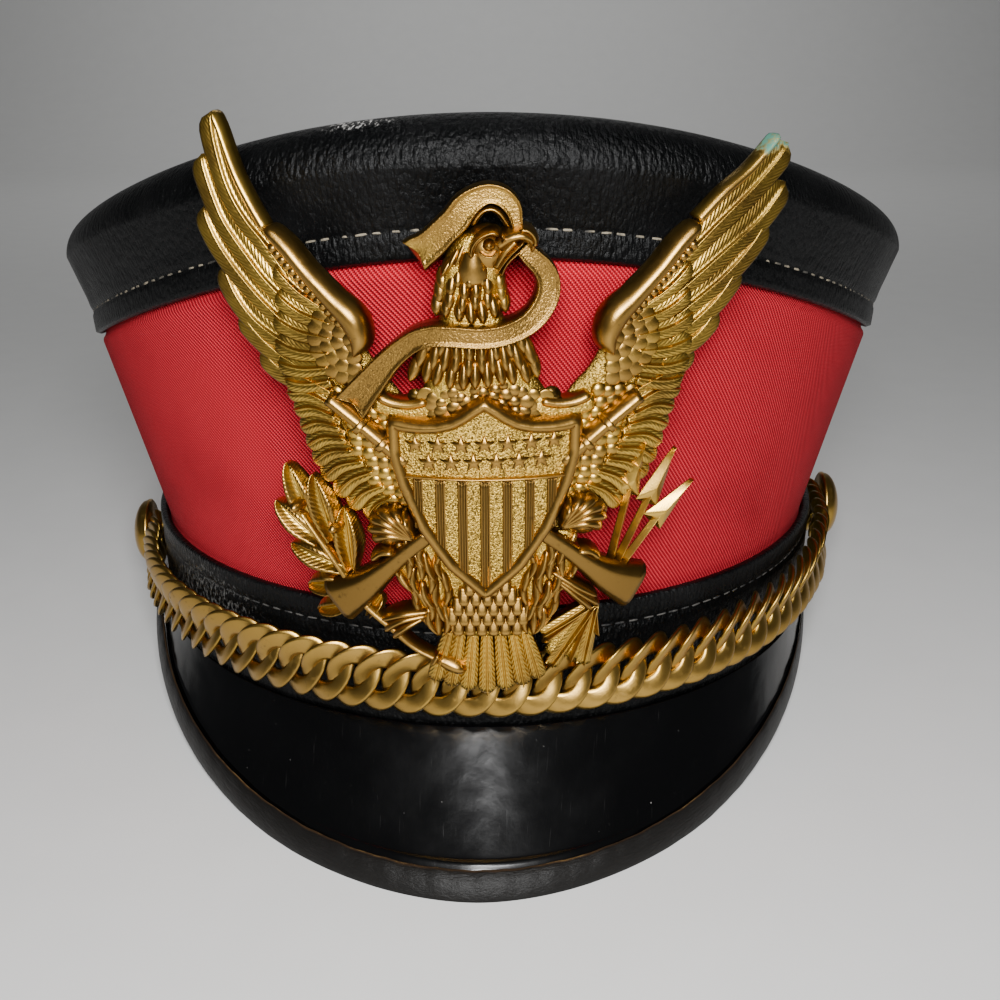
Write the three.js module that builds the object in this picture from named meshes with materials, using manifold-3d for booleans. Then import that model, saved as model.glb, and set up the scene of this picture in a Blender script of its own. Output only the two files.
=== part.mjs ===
// A marching band cap: a flared red twill crown between two black leather bands, a patent visor
// with a rolled binding, a brass curb chain across the front and a stamped brass eagle plate.
// Millimetres, +Z up. The wearer faces -Y. The cap stands on its visor edge and the back of its band.

import * as THREE from "three";
import { mergeVertices } from "three/addons/utils/BufferGeometryUtils.js";
import Module from "manifold-3d";

const wasm = await Module();
wasm.setup();

const DEGREE = Math.PI / 180;
const GAP = 0.3;
const WELD = 0.003;
const SAME_PLACE = 1e-4;

// Crown sizes. A radius is the reach from the middle to the front; the sides are narrower.
const DIVISIONS = 32;
const OVAL_NARROWING = 19.8;
const NARROWED_FROM_RADIUS = 100;
const CLOTH_WALL = 2;
const LEATHER = 1.9;
const BASE_RADIUS = 101;
const CLOTH_LOW = { r: 102, z: 26 };
const CLOTH_HIGH = { r: 113.4, z: 64.6 };
const CLOTH_TUCK = { r: 112.5, z: 65.8 };
const CROWN_HEM = { r: 112.9, z: 84 };
const BAND_PROUD = 2.2;
const BAND_LAP = 0.9;
const TOP_EDGE_Z = 66.2;
const TOP_SEAM = { r: 115.5, z: 72.6 };
const TOP_BELLY = { r: 117.3, z: 78 };
const TOP_WIDEST = { r: 119.2, z: 83.4 };
const TOP_ROLL = 8;
const TOP_FLANGE_RADIUS = 109;
const TOP_PANEL = { thickness: 1.8, drop: 0.4, middle: 60 };

// How far the front of each level stands above its sides and back.
const FRONT_RISES = [
  { z: 26, rise: 0 },
  { z: 67.1, rise: 26.5 },
  { z: 83.4, rise: 22.9 },
];

// The surface that the cap stands on, through the visor's tip and the back of the band.
const FLOOR_FRONT = { y: -129, z: -20 };
const FLOOR_BACK = { y: 103.2, z: 0.35 };
const FLOOR_SLOPE = (FLOOR_BACK.z - FLOOR_FRONT.z) / (FLOOR_BACK.y - FLOOR_FRONT.y);

// Visor sizes. Its edge is nearly an arc of an ellipse in plan, a little to the left, and drops to the tip.
const VISOR = { innerZ: 2.2, thickness: 2.4, hollow: 0.9, endAngle: 76 * DEGREE };
const VISOR_STEPS = { across: 22, along: 3 };
const VISOR_SLANTED_FROM = 0.5;
const VISOR_EDGE = { middleX: -1.5, middleY: 11.7, halfWidth: 86.9, halfLength: 140.4 };
const VISOR_END_TURN = 74.8 * DEGREE;
const VISOR_TAPER = 1.089;
const VISOR_DROP = { endY: -24, curve: 1.25 };
const VISOR_SLOPE = 41 * DEGREE;
const BINDING = { width: 5.2, height: 4.2, mostOfSpan: 0.5, sides: 6, steps: 24 };

// Curb chain sizes: flat rings, each bent so that it passes over one neighbour and under the other.
const CHAIN = { radius: 107.2, frontZ: 12.2, sideRise: 2.2, rightLift: 3, endAngle: 86 * DEGREE, links: 50 };
const LINK = { length: 11.4, height: 12.8, strip: 2.7, thickness: 1.4, lean: 0.3, saddle: 0.084 };
const LINK_SIDES = { ring: 10, wire: 5 };
const PATH_SAMPLES = 720;

const BUTTON = { radius: 8.5, rim: 1.2, dome: 3.6, shoulder: 0.7, stand: 3.4, sides: 14 };
const BUTTON_STEM = { radius: 0.8, shift: 0.9 };

// Eagle plate: worked flat as u across, v up and h out, then bent round and leaned on the crown.
const PLATE = { y: -113.5, z: 42, lean: 7 * DEGREE, bend: 95 };
const POSTS = [
  { v: 40, length: 5.6 },
  { v: -5, length: 8.2 },
];
const POST_RADIUS = 1.6;
const POST_SIDES = 6;
const POST_ROOT = 2.4;

// One wing, as reach out from the middle and height up the plate.
const WING_BEAD = { out: 33.9, v: 54.4 };
const WING_TURN_SPAN = { from: 46, to: 66 };
const WING_SIDES = [
  { side: -1, tipTurn: 0 },
  { side: 1, tipTurn: 25 * DEGREE },
];
// Feather tips from the wing tip down to the thigh, each with the root that it grows from.
const FLIGHT_FEATHERS = [
  { rootOut: 34.6, rootV: 54.5, out: 43.2, v: 72 },
  { rootOut: 30.6, rootV: 51, out: 47.6, v: 64.3 },
  { rootOut: 26.4, rootV: 47, out: 47.6, v: 55.9 },
  { rootOut: 22.6, rootV: 43, out: 44, v: 46.5 },
  { rootOut: 20, rootV: 39, out: 41.3, v: 38.8 },
  { rootOut: 19.6, rootV: 34, out: 37.6, v: 33.1 },
  { rootOut: 18, rootV: 28, out: 33.8, v: 26.3 },
  { rootOut: 17, rootV: 22, out: 31.2, v: 19.5 },
  { rootOut: 15, rootV: 17, out: 28.8, v: 13 },
  { rootOut: 13, rootV: 12, out: 23.8, v: 8.5 },
];
// Crest and valley heights of a row of feathers, at the roots, the covert edge and the tips.
const FLIGHT_FAN = {
  base: 0,
  notch: 0.14,
  rows: [
    { crest: 4.6, valley: 3.8 },
    { crest: 3, valley: 2 },
    { crest: 1.6, valley: 1.3 },
  ],
};

const SHIELD_HALF = [
  { u: 0, v: 27.6 },
  { u: 9.5, v: 23.4 },
  { u: 14.6, v: 24.4 },
  { u: 14, v: 16.5 },
  { u: 12.2, v: 10.8 },
  { u: 9.6, v: 5 },
  { u: 5.4, v: -1.6 },
  { u: 0, v: -7.4 },
];
const SHIELD_RELIEF = { base: 1.5, edge: 4.4, dome: 1.6, halfWidth: 16 };

const RIDGE_BASE = 0.9;
// The neck from the shield up, then the head turned to the beak.
const NECK = [
  { u: -0.2, v: 23, width: 23, crest: 4.8 },
  { u: -1, v: 36, width: 15.2, crest: 5.2 },
  { u: -2, v: 42, width: 10.9, crest: 5 },
  { u: -1.4, v: 48, width: 10.8, crest: 4.8 },
  { u: 1, v: 52.4, width: 9, crest: 5 },
  { u: 5.4, v: 53.4, width: 5.6, crest: 4.4 },
  { u: 8.8, v: 52.8, width: 2.4, crest: 3.6 },
];
const CREST = [
  { u: -11.4, v: 51, width: 4.8, crest: 2.4 },
  { u: -7, v: 54.8, width: 4.4, crest: 3 },
  { u: -3.4, v: 59, width: 4.2, crest: 3.2 },
  { u: 0.8, v: 60.4, width: 4, crest: 3.2 },
  { u: 4.6, v: 58.6, width: 3.2, crest: 3 },
  { u: 5.8, v: 54.6, width: 2.8, crest: 2.8 },
];
const RIBBON = [
  { u: 7, v: 52.2, width: 2.8, crest: 3.8 },
  { u: 10.6, v: 49, width: 3, crest: 3.2 },
  { u: 12, v: 45, width: 3.1, crest: 3 },
  { u: 10, v: 40.8, width: 3.1, crest: 3.6 },
  { u: 4.4, v: 37.6, width: 3.1, crest: 6 },
  { u: -8.4, v: 36.9, width: 3.1, crest: 6 },
  { u: -14.4, v: 33, width: 3.1, crest: 5 },
  { u: -20.6, v: 27.4, width: 3.6, crest: 4.6 },
];
// The two stretches of a rifle that show beside the shield, for the one whose muzzle is at -u.
const BARREL = [
  { u: -26.3, v: 26.4, width: 2.6, crest: 5 },
  { u: -12, v: 16.2, width: 3, crest: 5 },
];
const STOCK = [
  { u: 11, v: 1, width: 3.6, crest: 4.6 },
  { u: 20, v: -5, width: 5, crest: 4.6 },
  { u: 27.4, v: -10.4, width: 8.8, crest: 4.6 },
];
const KNOB = { u: 16.4, v: 4.4, radius: 4, base: 1.3, height: 4.6, sides: 6, rings: 4 };
const LEG = [
  { u: 13.5, v: 2, width: 5, crest: 4 },
  { u: 11, v: -5, width: 8, crest: 5.2 },
  { u: 8.6, v: -12, width: 7, crest: 4.6 },
];
const CLAW_LEFT = { u: -17.6, v: -15.4, width: 5.4, crest: 4.6 };
const CLAW_RIGHT = { u: 17.6, v: -11.4, width: 5.4, crest: 4.6 };
const TAIL = { u: 0.2, rootV: -9, tipV: -29.7, rootSpread: 3.4, spread: 8.2, sag: 2.6, feathers: 7 };
const TAIL_FAN = {
  base: 0.2,
  notch: 0.1,
  rows: [
    { crest: 3.8, valley: 3 },
    { crest: 2.6, valley: 1.8 },
  ],
};
const LAUREL_STEM = [
  { u: -4.2, v: -24.6, width: 2.6, crest: 3.4 },
  { u: -14, v: -18.4, width: 1.8, crest: 3 },
  { u: -20.6, v: -12.6, width: 2, crest: 3 },
  { u: -26.6, v: -6, width: 2, crest: 2.8 },
  { u: -31.2, v: 4, width: 1.6, crest: 2.6 },
];
// Leaf tips round the sprig, each with the place on the stem that it grows from.
const LAUREL_LEAVES = [
  { rootU: -22.4, rootV: -8.4, u: -24.4, v: 5.8 },
  { rootU: -26, rootV: -1.6, u: -29.8, v: 11.4 },
  { rootU: -29, rootV: 0.6, u: -34.8, v: 12.9 },
  { rootU: -29.6, rootV: -2, u: -37.4, v: 5 },
  { rootU: -27, rootV: -7, u: -35.4, v: -4 },
  { rootU: -23, rootV: -11, u: -31.4, v: -11.6 },
];
const LAUREL_FAN = {
  base: 0.4,
  notch: 0.45,
  rows: [
    { crest: 3.2, valley: 2.2 },
    { crest: 1.8, valley: 1.3 },
  ],
};
const ARROW_BUNDLE = [
  { u: 24.6, v: -1.2, width: 3, crest: 3 },
  { u: 17.4, v: -12, width: 4, crest: 3.2 },
  { u: 14.6, v: -19, width: 6.6, crest: 3 },
  { u: 14.2, v: -26, width: 8.2, crest: 2.4 },
];
const ARROW_TIPS = [
  { u: 26.6, v: 16.8 },
  { u: 32.8, v: 15.8 },
  { u: 36.6, v: 9.6 },
];
const ARROW_BASE = { u: 22.8, v: -4 };
const ARROW_HEAD = { share: 0.3, barb: 0.97, width: 4, tipWidth: 0.3 };
const ARROW_SHAFT = { width: 1.5, crest: 2.6 };

const FINISHES = {
  cloth: { color: 0xb01826, roughness: 0.85, metalness: 0 },
  leather: { color: 0x141416, roughness: 0.5, metalness: 0 },
  patent: { color: 0x08080a, roughness: 0.16, metalness: 0 },
  brass: { color: 0x8f6a2a, roughness: 0.38, metalness: 1 },
};

// A geometry with shared vertices only, without the collapsed triangles at poles.
function closedGeometry(source) {
  const bare = source.clone();
  bare.deleteAttribute("normal");
  bare.deleteAttribute("uv");
  const merged = mergeVertices(bare, SAME_PLACE);
  const kept = [];
  const corners = merged.index.array;
  for (let i = 0; i < corners.length; i += 3) {
    const [a, b, c] = corners.slice(i, i + 3);
    if (a !== b && b !== c && c !== a) kept.push(a, b, c);
  }
  merged.setIndex(kept);
  return merged;
}

function signedVolume(geometry) {
  const position = geometry.attributes.position;
  const corners = geometry.index.array;
  const [a, b, c] = [new THREE.Vector3(), new THREE.Vector3(), new THREE.Vector3()];
  let volume = 0;
  for (let i = 0; i < corners.length; i += 3) {
    a.fromBufferAttribute(position, corners[i]);
    b.fromBufferAttribute(position, corners[i + 1]);
    c.fromBufferAttribute(position, corners[i + 2]);
    volume += a.dot(b.cross(c)) / 6;
  }
  return volume;
}

// Moves every vertex by place(x, y, z), which returns a Vector3, and keeps the faces pointing out.
function reshape(source, place) {
  const geometry = closedGeometry(source);
  const position = geometry.attributes.position;
  for (let i = 0; i < position.count; i += 1) {
    const moved = place(position.getX(i), position.getY(i), position.getZ(i));
    position.setXYZ(i, moved.x, moved.y, moved.z);
  }
  if (signedVolume(geometry) < 0) geometry.setIndex([...geometry.index.array].reverse());
  return geometry;
}

function toSolid(geometry) {
  const vertProperties = Float32Array.from(geometry.attributes.position.array);
  const triVerts = Uint32Array.from(geometry.index.array);
  return new wasm.Manifold(new wasm.Mesh({ numProp: 3, vertProperties, triVerts }));
}

// Finds for each corner the first corner within the weld distance of it.
function weldTargets(position) {
  const cells = new Map();
  const targets = [];
  const here = new THREE.Vector3();
  const other = new THREE.Vector3();
  const cellOf = (value) => Math.floor(value / WELD);
  const steps = [-1, 0, 1];
  const around = steps.flatMap((x) => steps.flatMap((y) => steps.map((z) => [x, y, z])));
  for (let i = 0; i < position.count; i += 1) {
    here.fromBufferAttribute(position, i);
    const cell = [cellOf(here.x), cellOf(here.y), cellOf(here.z)];
    const keys = around.map((step) => step.map((offset, axis) => cell[axis] + offset).join());
    const near = keys.map((key) => cells.get(key)).find((found) => (
      found !== undefined && other.fromBufferAttribute(position, found).distanceTo(here) < WELD
    ));
    targets.push(near ?? i);
    if (near === undefined) cells.set(cell.join(), i);
  }
  return targets;
}

// Closes up the slivers where pieces cross: welds close corners and drops what collapses.
function weld(geometry) {
  const targets = weldTargets(geometry.attributes.position);
  const faces = new Map();
  const corners = geometry.index.array;
  for (let i = 0; i < corners.length; i += 3) {
    const face = [targets[corners[i]], targets[corners[i + 1]], targets[corners[i + 2]]];
    const key = [...face].sort((a, b) => a - b).join();
    const collapsed = new Set(face).size < 3;
    if (!collapsed && !faces.delete(key)) faces.set(key, face);
  }
  geometry.setIndex([...faces.values()].flat());
  return closedGeometry(geometry.toNonIndexed());
}

// Joins overlapping geometries into one closed body.
function fuse(geometries) {
  const [first, ...others] = geometries.map(toSolid);
  const mesh = others.reduce((body, piece) => body.add(piece), first).getMesh();
  const geometry = new THREE.BufferGeometry();
  geometry.setAttribute("position", new THREE.BufferAttribute(mesh.vertProperties, 3));
  geometry.setIndex(new THREE.BufferAttribute(mesh.triVerts, 1));
  return weld(geometry);
}

function smoothStep(from, to, value) {
  return THREE.MathUtils.smoothstep(value, from, to);
}

function floorHeight(y) {
  return FLOOR_FRONT.z + (y - FLOOR_FRONT.y) * FLOOR_SLOPE;
}

function frontRise(z) {
  const last = FRONT_RISES[FRONT_RISES.length - 1];
  if (z >= last.z) return last.rise;
  let rise = 0;
  for (let i = 1; i < FRONT_RISES.length; i += 1) {
    const low = FRONT_RISES[i - 1];
    const high = FRONT_RISES[i];
    if (z >= low.z) rise = THREE.MathUtils.mapLinear(z, low.z, high.z, low.rise, high.rise);
  }
  return rise;
}

// A point of the oval crown: angle 0 is the front, and the front half of each level rises.
function ovalPoint(radius, angle, z, reach = radius) {
  const narrowing = OVAL_NARROWING * Math.min(1, radius / NARROWED_FROM_RADIUS);
  const forward = Math.max(0, (radius * Math.cos(angle)) / reach);
  const x = (radius - narrowing) * Math.sin(angle);
  return new THREE.Vector3(x, -radius * Math.cos(angle), z + frontRise(z) * forward ** 2);
}

// Turns a closed profile of radius and height round the oval.
function ovalLathe(profile, rimRadius) {
  const points = [...profile, profile[0]].map(({ r, z }) => new THREE.Vector2(r, z));
  return reshape(new THREE.LatheGeometry(points, DIVISIONS), (x, height, depth) => {
    const radius = Math.hypot(x, depth);
    return ovalPoint(radius, Math.atan2(x, depth), height, rimRadius ?? radius);
  });
}

function inward(profile, distance) {
  return profile.map(({ r, z }) => ({ r: r - distance, z })).reverse();
}

function crownWall() {
  const outside = [{ r: BASE_RADIUS, z: BAND_LAP }, CLOTH_LOW, CLOTH_HIGH, CLOTH_TUCK, CROWN_HEM];
  return ovalLathe([...outside, ...inward(outside, CLOTH_WALL)]);
}

function topPanel() {
  const rim = TOP_FLANGE_RADIUS - GAP;
  const top = TOP_WIDEST.z + TOP_ROLL - TOP_PANEL.drop;
  const bottom = top - TOP_PANEL.thickness;
  const rims = [{ r: TOP_PANEL.middle, z: bottom }, { r: rim, z: bottom }];
  const upper = [{ r: rim, z: top }, { r: TOP_PANEL.middle, z: top }];
  return ovalLathe([{ r: 0, z: bottom }, ...rims, ...upper, { r: 0, z: top }], rim);
}

// The quarter round over the crown's top edge, from its widest level to its top.
function topRoll(radius) {
  const middle = TOP_WIDEST.r - TOP_ROLL;
  return [0, 45, 90].map((degrees) => ({
    r: middle + radius * Math.cos(degrees * DEGREE),
    z: TOP_WIDEST.z + radius * Math.sin(degrees * DEGREE),
  }));
}

// The top band grips the crown at its lower edge, where the cloth is tucked in, and flares above the seam.
function topBand() {
  const flare = [{ r: CLOTH_TUCK.r + GAP + LEATHER, z: TOP_EDGE_Z }, TOP_SEAM, TOP_BELLY];
  const top = TOP_WIDEST.z + TOP_ROLL;
  const outside = [...flare, ...topRoll(TOP_ROLL), { r: TOP_FLANGE_RADIUS, z: top }];
  const flange = { r: TOP_FLANGE_RADIUS, z: top - LEATHER };
  const inside = [...topRoll(TOP_ROLL - LEATHER).reverse(), ...inward(flare, LEATHER)];
  return ovalLathe([...outside, flange, ...inside]);
}

// The lower band is pressed flat where its back rests on the floor.
function lowerBand() {
  const outside = [{ r: BASE_RADIUS + BAND_PROUD, z: 0 }, { r: CLOTH_LOW.r + BAND_PROUD, z: CLOTH_LOW.z }];
  const band = ovalLathe([...outside, ...inward(outside, LEATHER)]);
  return reshape(band, (x, y, z) => new THREE.Vector3(x, y, Math.max(z, floorHeight(y))));
}

function visorInner(share) {
  const radius = BASE_RADIUS + BAND_PROUD + 2 * GAP;
  return ovalPoint(radius, share * VISOR.endAngle, VISOR.innerZ);
}

// The visor's outer edge, lowest at the tip and level with the band's lower edge at both ends.
function visorEdge(share) {
  const turn = share * VISOR_END_TURN;
  const aside = Math.sign(share) * Math.abs(Math.sin(turn)) ** VISOR_TAPER;
  const x = VISOR_EDGE.middleX + VISOR_EDGE.halfWidth * aside;
  const y = VISOR_EDGE.middleY - VISOR_EDGE.halfLength * Math.cos(turn);
  const back = (y - FLOOR_FRONT.y) / (VISOR_DROP.endY - FLOOR_FRONT.y);
  const z = FLOOR_FRONT.z * (1 - Math.max(0, back) ** VISOR_DROP.curve);
  return new THREE.Vector3(x, y, z);
}

// A point of the visor's upper face, from the band at along 0 to the edge at along 1, a little hollow between.
function visorFace(share, along) {
  const dip = VISOR.hollow * Math.sin(Math.PI * along) * Math.cos(share * VISOR.endAngle);
  return visorInner(share).lerp(visorEdge(share), along).sub(new THREE.Vector3(0, 0, dip));
}

function visorOutward(share) {
  const angle = share * VISOR.endAngle;
  return new THREE.Vector3(Math.sin(angle), -Math.cos(angle), 0);
}

function visorSpan(share) {
  return visorInner(share).distanceTo(visorEdge(share));
}

function bindingWidth(share) {
  return Math.min(BINDING.width, visorSpan(share) * BINDING.mostOfSpan);
}

function visor() {
  const box = new THREE.BoxGeometry(2, 1, 1, VISOR_STEPS.across, VISOR_STEPS.along, 1);
  return reshape(box, (share, alongOffset, layer) => {
    const reach = 1 - (bindingWidth(share) + GAP) / visorSpan(share);
    const along = (alongOffset + 0.5) * reach;
    const depth = (0.5 - layer) * VISOR.thickness;
    const slant = smoothStep(0, VISOR_SLANTED_FROM, along) * Math.sin(VISOR_SLOPE);
    const point = visorFace(share, along).addScaledVector(visorOutward(share), -depth * slant);
    return point.setZ(point.z - depth / Math.cos(VISOR_SLOPE) / (1 + slant));
  });
}

// The rolled binding round the visor's edge, pressed flat where it rests on the floor.
function visorBinding() {
  const rod = new THREE.CylinderGeometry(1, 1, 2, BINDING.sides, BINDING.steps);
  return reshape(rod, (up, share, across) => {
    const edge = visorEdge(share);
    const slope = visorInner(share).sub(edge).normalize();
    const point = edge.addScaledVector(slope, (bindingWidth(share) / 2) * (1 - across));
    point.setZ(point.z + (BINDING.height / 2) * up);
    return point.setZ(Math.max(point.z, floorHeight(point.y)));
  });
}

// The chain's path round the front of the lower band, as points with their distance along it.
function chainPath() {
  const path = [];
  let travelled = 0;
  for (let i = 0; i <= PATH_SAMPLES; i += 1) {
    const angle = CHAIN.endAngle * ((2 * i) / PATH_SAMPLES - 1);
    const aside = Math.sin(angle);
    const z = CHAIN.frontZ + (CHAIN.sideRise + CHAIN.rightLift * aside) * aside ** 2;
    const point = ovalPoint(CHAIN.radius, angle, z);
    if (i > 0) travelled += point.distanceTo(path[i - 1].point);
    path.push({ point, travelled });
  }
  return path;
}

// The place of one link: its middle and the directions along, up and out of the chain.
function chainFrame(path, distance) {
  const found = path.findIndex(({ travelled }) => travelled >= distance);
  const index = THREE.MathUtils.clamp(found, 1, PATH_SAMPLES - 1);
  const along = path[index + 1].point.clone().sub(path[index - 1].point).normalize();
  const out = along.clone().cross(new THREE.Vector3(0, 0, 1)).normalize();
  const up = out.clone().cross(along).normalize();
  return new THREE.Matrix4().makeBasis(along, up, out).setPosition(path[index].point);
}

// One flat oval ring, leaned along the chain and bent to a saddle.
function chainLink() {
  const ring = new THREE.TorusGeometry(2, 1, LINK_SIDES.wire, LINK_SIDES.ring);
  return reshape(ring, (x, y, depth) => {
    const angle = Math.atan2(y, x);
    const across = ((Math.hypot(x, y) - 2) * LINK.strip) / 2;
    const run = ((LINK.length - LINK.strip) / 2 + across) * Math.cos(angle);
    const rise = ((LINK.height - LINK.strip) / 2 + across) * Math.sin(angle);
    const bent = (depth * LINK.thickness) / 2 - LINK.saddle * run * rise;
    return new THREE.Vector3(run + LINK.lean * rise, rise, bent);
  });
}

const chainRoute = chainPath();
const chainLength = chainRoute[PATH_SAMPLES].travelled;

function linkFrame(index) {
  return chainFrame(chainRoute, (chainLength * (index + 0.5)) / CHAIN.links);
}

function chinChain() {
  const links = [];
  for (let i = 0; i < CHAIN.links; i += 1) links.push(chainLink().applyMatrix4(linkFrame(i)));
  return fuse(links);
}

// A domed button whose stem goes through the chain's end link.
function sideButton(linkIndex, outwardShift) {
  const { radius, rim, dome, shoulder, stand } = BUTTON;
  const foot = -CHAIN.radius + BASE_RADIUS + BAND_PROUD + 2 * GAP;
  const profile = [
    { r: 0, z: foot },
    { r: BUTTON_STEM.radius, z: foot },
    { r: BUTTON_STEM.radius, z: stand - rim },
    { r: radius, z: stand - rim },
    { r: radius, z: stand },
    { r: radius * shoulder, z: stand + dome * shoulder },
    { r: 0, z: stand + dome },
  ];
  const points = profile.map(({ r, z }) => new THREE.Vector2(r, z));
  const lathe = new THREE.LatheGeometry(points, BUTTON.sides);
  const frame = linkFrame(linkIndex);
  return reshape(lathe, (x, height, depth) => (
    new THREE.Vector3(x + outwardShift * BUTTON_STEM.shift, depth, height).applyMatrix4(frame)
  ));
}

// A point of the eagle plate: u across, v up, h out from its back.
function platePoint(u, v, h) {
  const turn = u / PLATE.bend;
  const out = (PLATE.bend + h) * Math.cos(turn) - PLATE.bend;
  const y = PLATE.y - v * Math.sin(PLATE.lean) - out * Math.cos(PLATE.lean);
  const z = PLATE.z + v * Math.cos(PLATE.lean) - out * Math.sin(PLATE.lean);
  return new THREE.Vector3((PLATE.bend + h) * Math.sin(turn), y, z);
}

// A raised ridge along a few stations, with a flat back at base and a crest in the middle.
function ridge(stations, sides = 5, base = RIDGE_BASE) {
  const last = stations.length - 1;
  const rod = new THREE.CylinderGeometry(1, 1, 1, sides, last);
  const lowest = Math.cos(Math.PI * (1 - (sides % 2) / sides));
  const widest = Math.sin((2 * Math.PI * Math.round(sides / 4)) / sides);
  return reshape(rod, (across, offset, up) => {
    const index = Math.round((0.5 - offset) * last);
    const here = stations[index];
    const before = stations[Math.max(0, index - 1)];
    const after = stations[Math.min(last, index + 1)];
    const run = Math.hypot(after.u - before.u, after.v - before.v);
    const side = ((across / widest) * here.width) / 2;
    const u = here.u + (side * (after.v - before.v)) / run;
    const v = here.v - (side * (after.u - before.u)) / run;
    return platePoint(u, v, THREE.MathUtils.mapLinear(up, lowest, 1, base, here.crest));
  });
}

// A slab of an outline from base up to top(u).
function slab(outline, base, top) {
  const shape = new THREE.Shape(outline.map(({ u, v }) => new THREE.Vector2(u, v)));
  const extruded = new THREE.ExtrudeGeometry(shape, { depth: 1, bevelEnabled: false });
  return reshape(extruded, (u, v, layer) => platePoint(u, v, THREE.MathUtils.lerp(base, top(u), layer)));
}

// Reads a table of feathers at a whole or half place, also half a place past its ends.
function featherAt(feathers, place) {
  const low = THREE.MathUtils.clamp(Math.floor(place), 0, feathers.length - 2);
  const mix = (key) => {
    const start = feathers[low][key];
    return start + (feathers[low + 1][key] - start) * (place - low);
  };
  return { rootU: mix("rootU"), rootV: mix("rootV"), u: mix("u"), v: mix("v") };
}

// Feathers side by side: each has a crest from its root to its tip and a valley on either side.
function fan(feathers, { base, notch, rows }) {
  const columns = 2 * feathers.length;
  const steps = rows.length - 1;
  const box = new THREE.BoxGeometry(1, 1, 1, columns, steps, 1);
  return reshape(box, (x, y, layer) => {
    const column = Math.round((x + 0.5) * columns);
    const row = rows[Math.round((y + 0.5) * steps)];
    const onCrest = column % 2 === 1;
    const feather = featherAt(feathers, (column - 1) / 2);
    const along = (y + 0.5) * (onCrest ? 1 : 1 - notch);
    const u = THREE.MathUtils.lerp(feather.rootU, feather.u, along);
    const v = THREE.MathUtils.lerp(feather.rootV, feather.v, along);
    const height = onCrest ? row.crest : row.valley;
    return platePoint(u, v, layer > 0 ? height : base);
  });
}

// Puts a wing point on its side of the plate, with the wing's tip turned out round its bead.
function wingPoint({ side, tipTurn }, out, v) {
  const turn = tipTurn * smoothStep(WING_TURN_SPAN.from, WING_TURN_SPAN.to, v);
  const beadOut = out - WING_BEAD.out;
  const beadUp = v - WING_BEAD.v;
  return {
    u: side * (WING_BEAD.out + beadOut * Math.cos(turn) + beadUp * Math.sin(turn)),
    v: WING_BEAD.v + beadUp * Math.cos(turn) - beadOut * Math.sin(turn),
  };
}

function wing(wingSide) {
  const feathers = FLIGHT_FEATHERS.map(({ rootOut, rootV, out, v }) => {
    const root = wingPoint(wingSide, rootOut, rootV);
    return { rootU: root.u, rootV: root.v, ...wingPoint(wingSide, out, v) };
  });
  return fan(feathers, FLIGHT_FAN);
}

function mirrored(rows) {
  return rows.map((row) => ({ ...row, u: -row.u }));
}

function shield() {
  const otherHalf = mirrored(SHIELD_HALF.slice(1, -1)).reverse();
  const { base, edge, dome, halfWidth } = SHIELD_RELIEF;
  return slab([...SHIELD_HALF, ...otherHalf], base, (u) => edge + dome * (1 - (u / halfWidth) ** 2));
}

function knob(side) {
  const ball = new THREE.SphereGeometry(1, KNOB.sides, KNOB.rings);
  return reshape(ball, (x, y, z) => {
    const height = Math.max(KNOB.base, KNOB.height * z);
    return platePoint(side * KNOB.u + KNOB.radius * x, KNOB.v + KNOB.radius * y, height);
  });
}

function tailFeathers() {
  const feathers = [];
  for (let i = 0; i < TAIL.feathers; i += 1) {
    const turn = (2 * i) / (TAIL.feathers - 1) - 1;
    feathers.push({
      rootU: TAIL.u + TAIL.rootSpread * turn,
      rootV: TAIL.rootV,
      u: TAIL.u + TAIL.spread * turn,
      v: TAIL.tipV + TAIL.sag * turn ** 2,
    });
  }
  return fan(feathers, TAIL_FAN);
}

function arrow(tip) {
  const stations = [
    { along: 1, width: ARROW_SHAFT.width },
    { along: ARROW_HEAD.share, width: ARROW_SHAFT.width },
    { along: ARROW_HEAD.share * ARROW_HEAD.barb, width: ARROW_HEAD.width },
    { along: 0, width: ARROW_HEAD.tipWidth },
  ].map(({ along, width }) => ({
    u: THREE.MathUtils.lerp(tip.u, ARROW_BASE.u, along),
    v: THREE.MathUtils.lerp(tip.v, ARROW_BASE.v, along),
    width,
    crest: ARROW_SHAFT.crest,
  }));
  return ridge(stations, 3);
}

function post({ v, length }) {
  const rod = new THREE.CylinderGeometry(POST_RADIUS, POST_RADIUS, 1, POST_SIDES);
  const whole = length + POST_ROOT;
  return reshape(rod, (x, along, y) => platePoint(x, v + y, POST_ROOT - (0.5 - along) * whole));
}

function eaglePlate() {
  return fuse([
    ...WING_SIDES.map(wing),
    ridge(NECK, 6),
    ridge(CREST),
    ridge(RIBBON),
    ridge(BARREL),
    ridge(mirrored(BARREL)),
    ridge(STOCK),
    ridge(mirrored(STOCK)),
    shield(),
    knob(-1),
    knob(1),
    ridge([...mirrored(LEG), CLAW_LEFT]),
    ridge([...LEG, CLAW_RIGHT]),
    tailFeathers(),
    ridge(LAUREL_STEM, 3),
    fan(LAUREL_LEAVES, LAUREL_FAN),
    ridge(ARROW_BUNDLE),
    ...ARROW_TIPS.map(arrow),
    ...POSTS.map(post),
  ]);
}

const cap = new THREE.Group();

function addPiece(name, geometry, finish) {
  const mesh = new THREE.Mesh(geometry, new THREE.MeshStandardMaterial(finish));
  mesh.name = name;
  cap.add(mesh);
}

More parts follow.
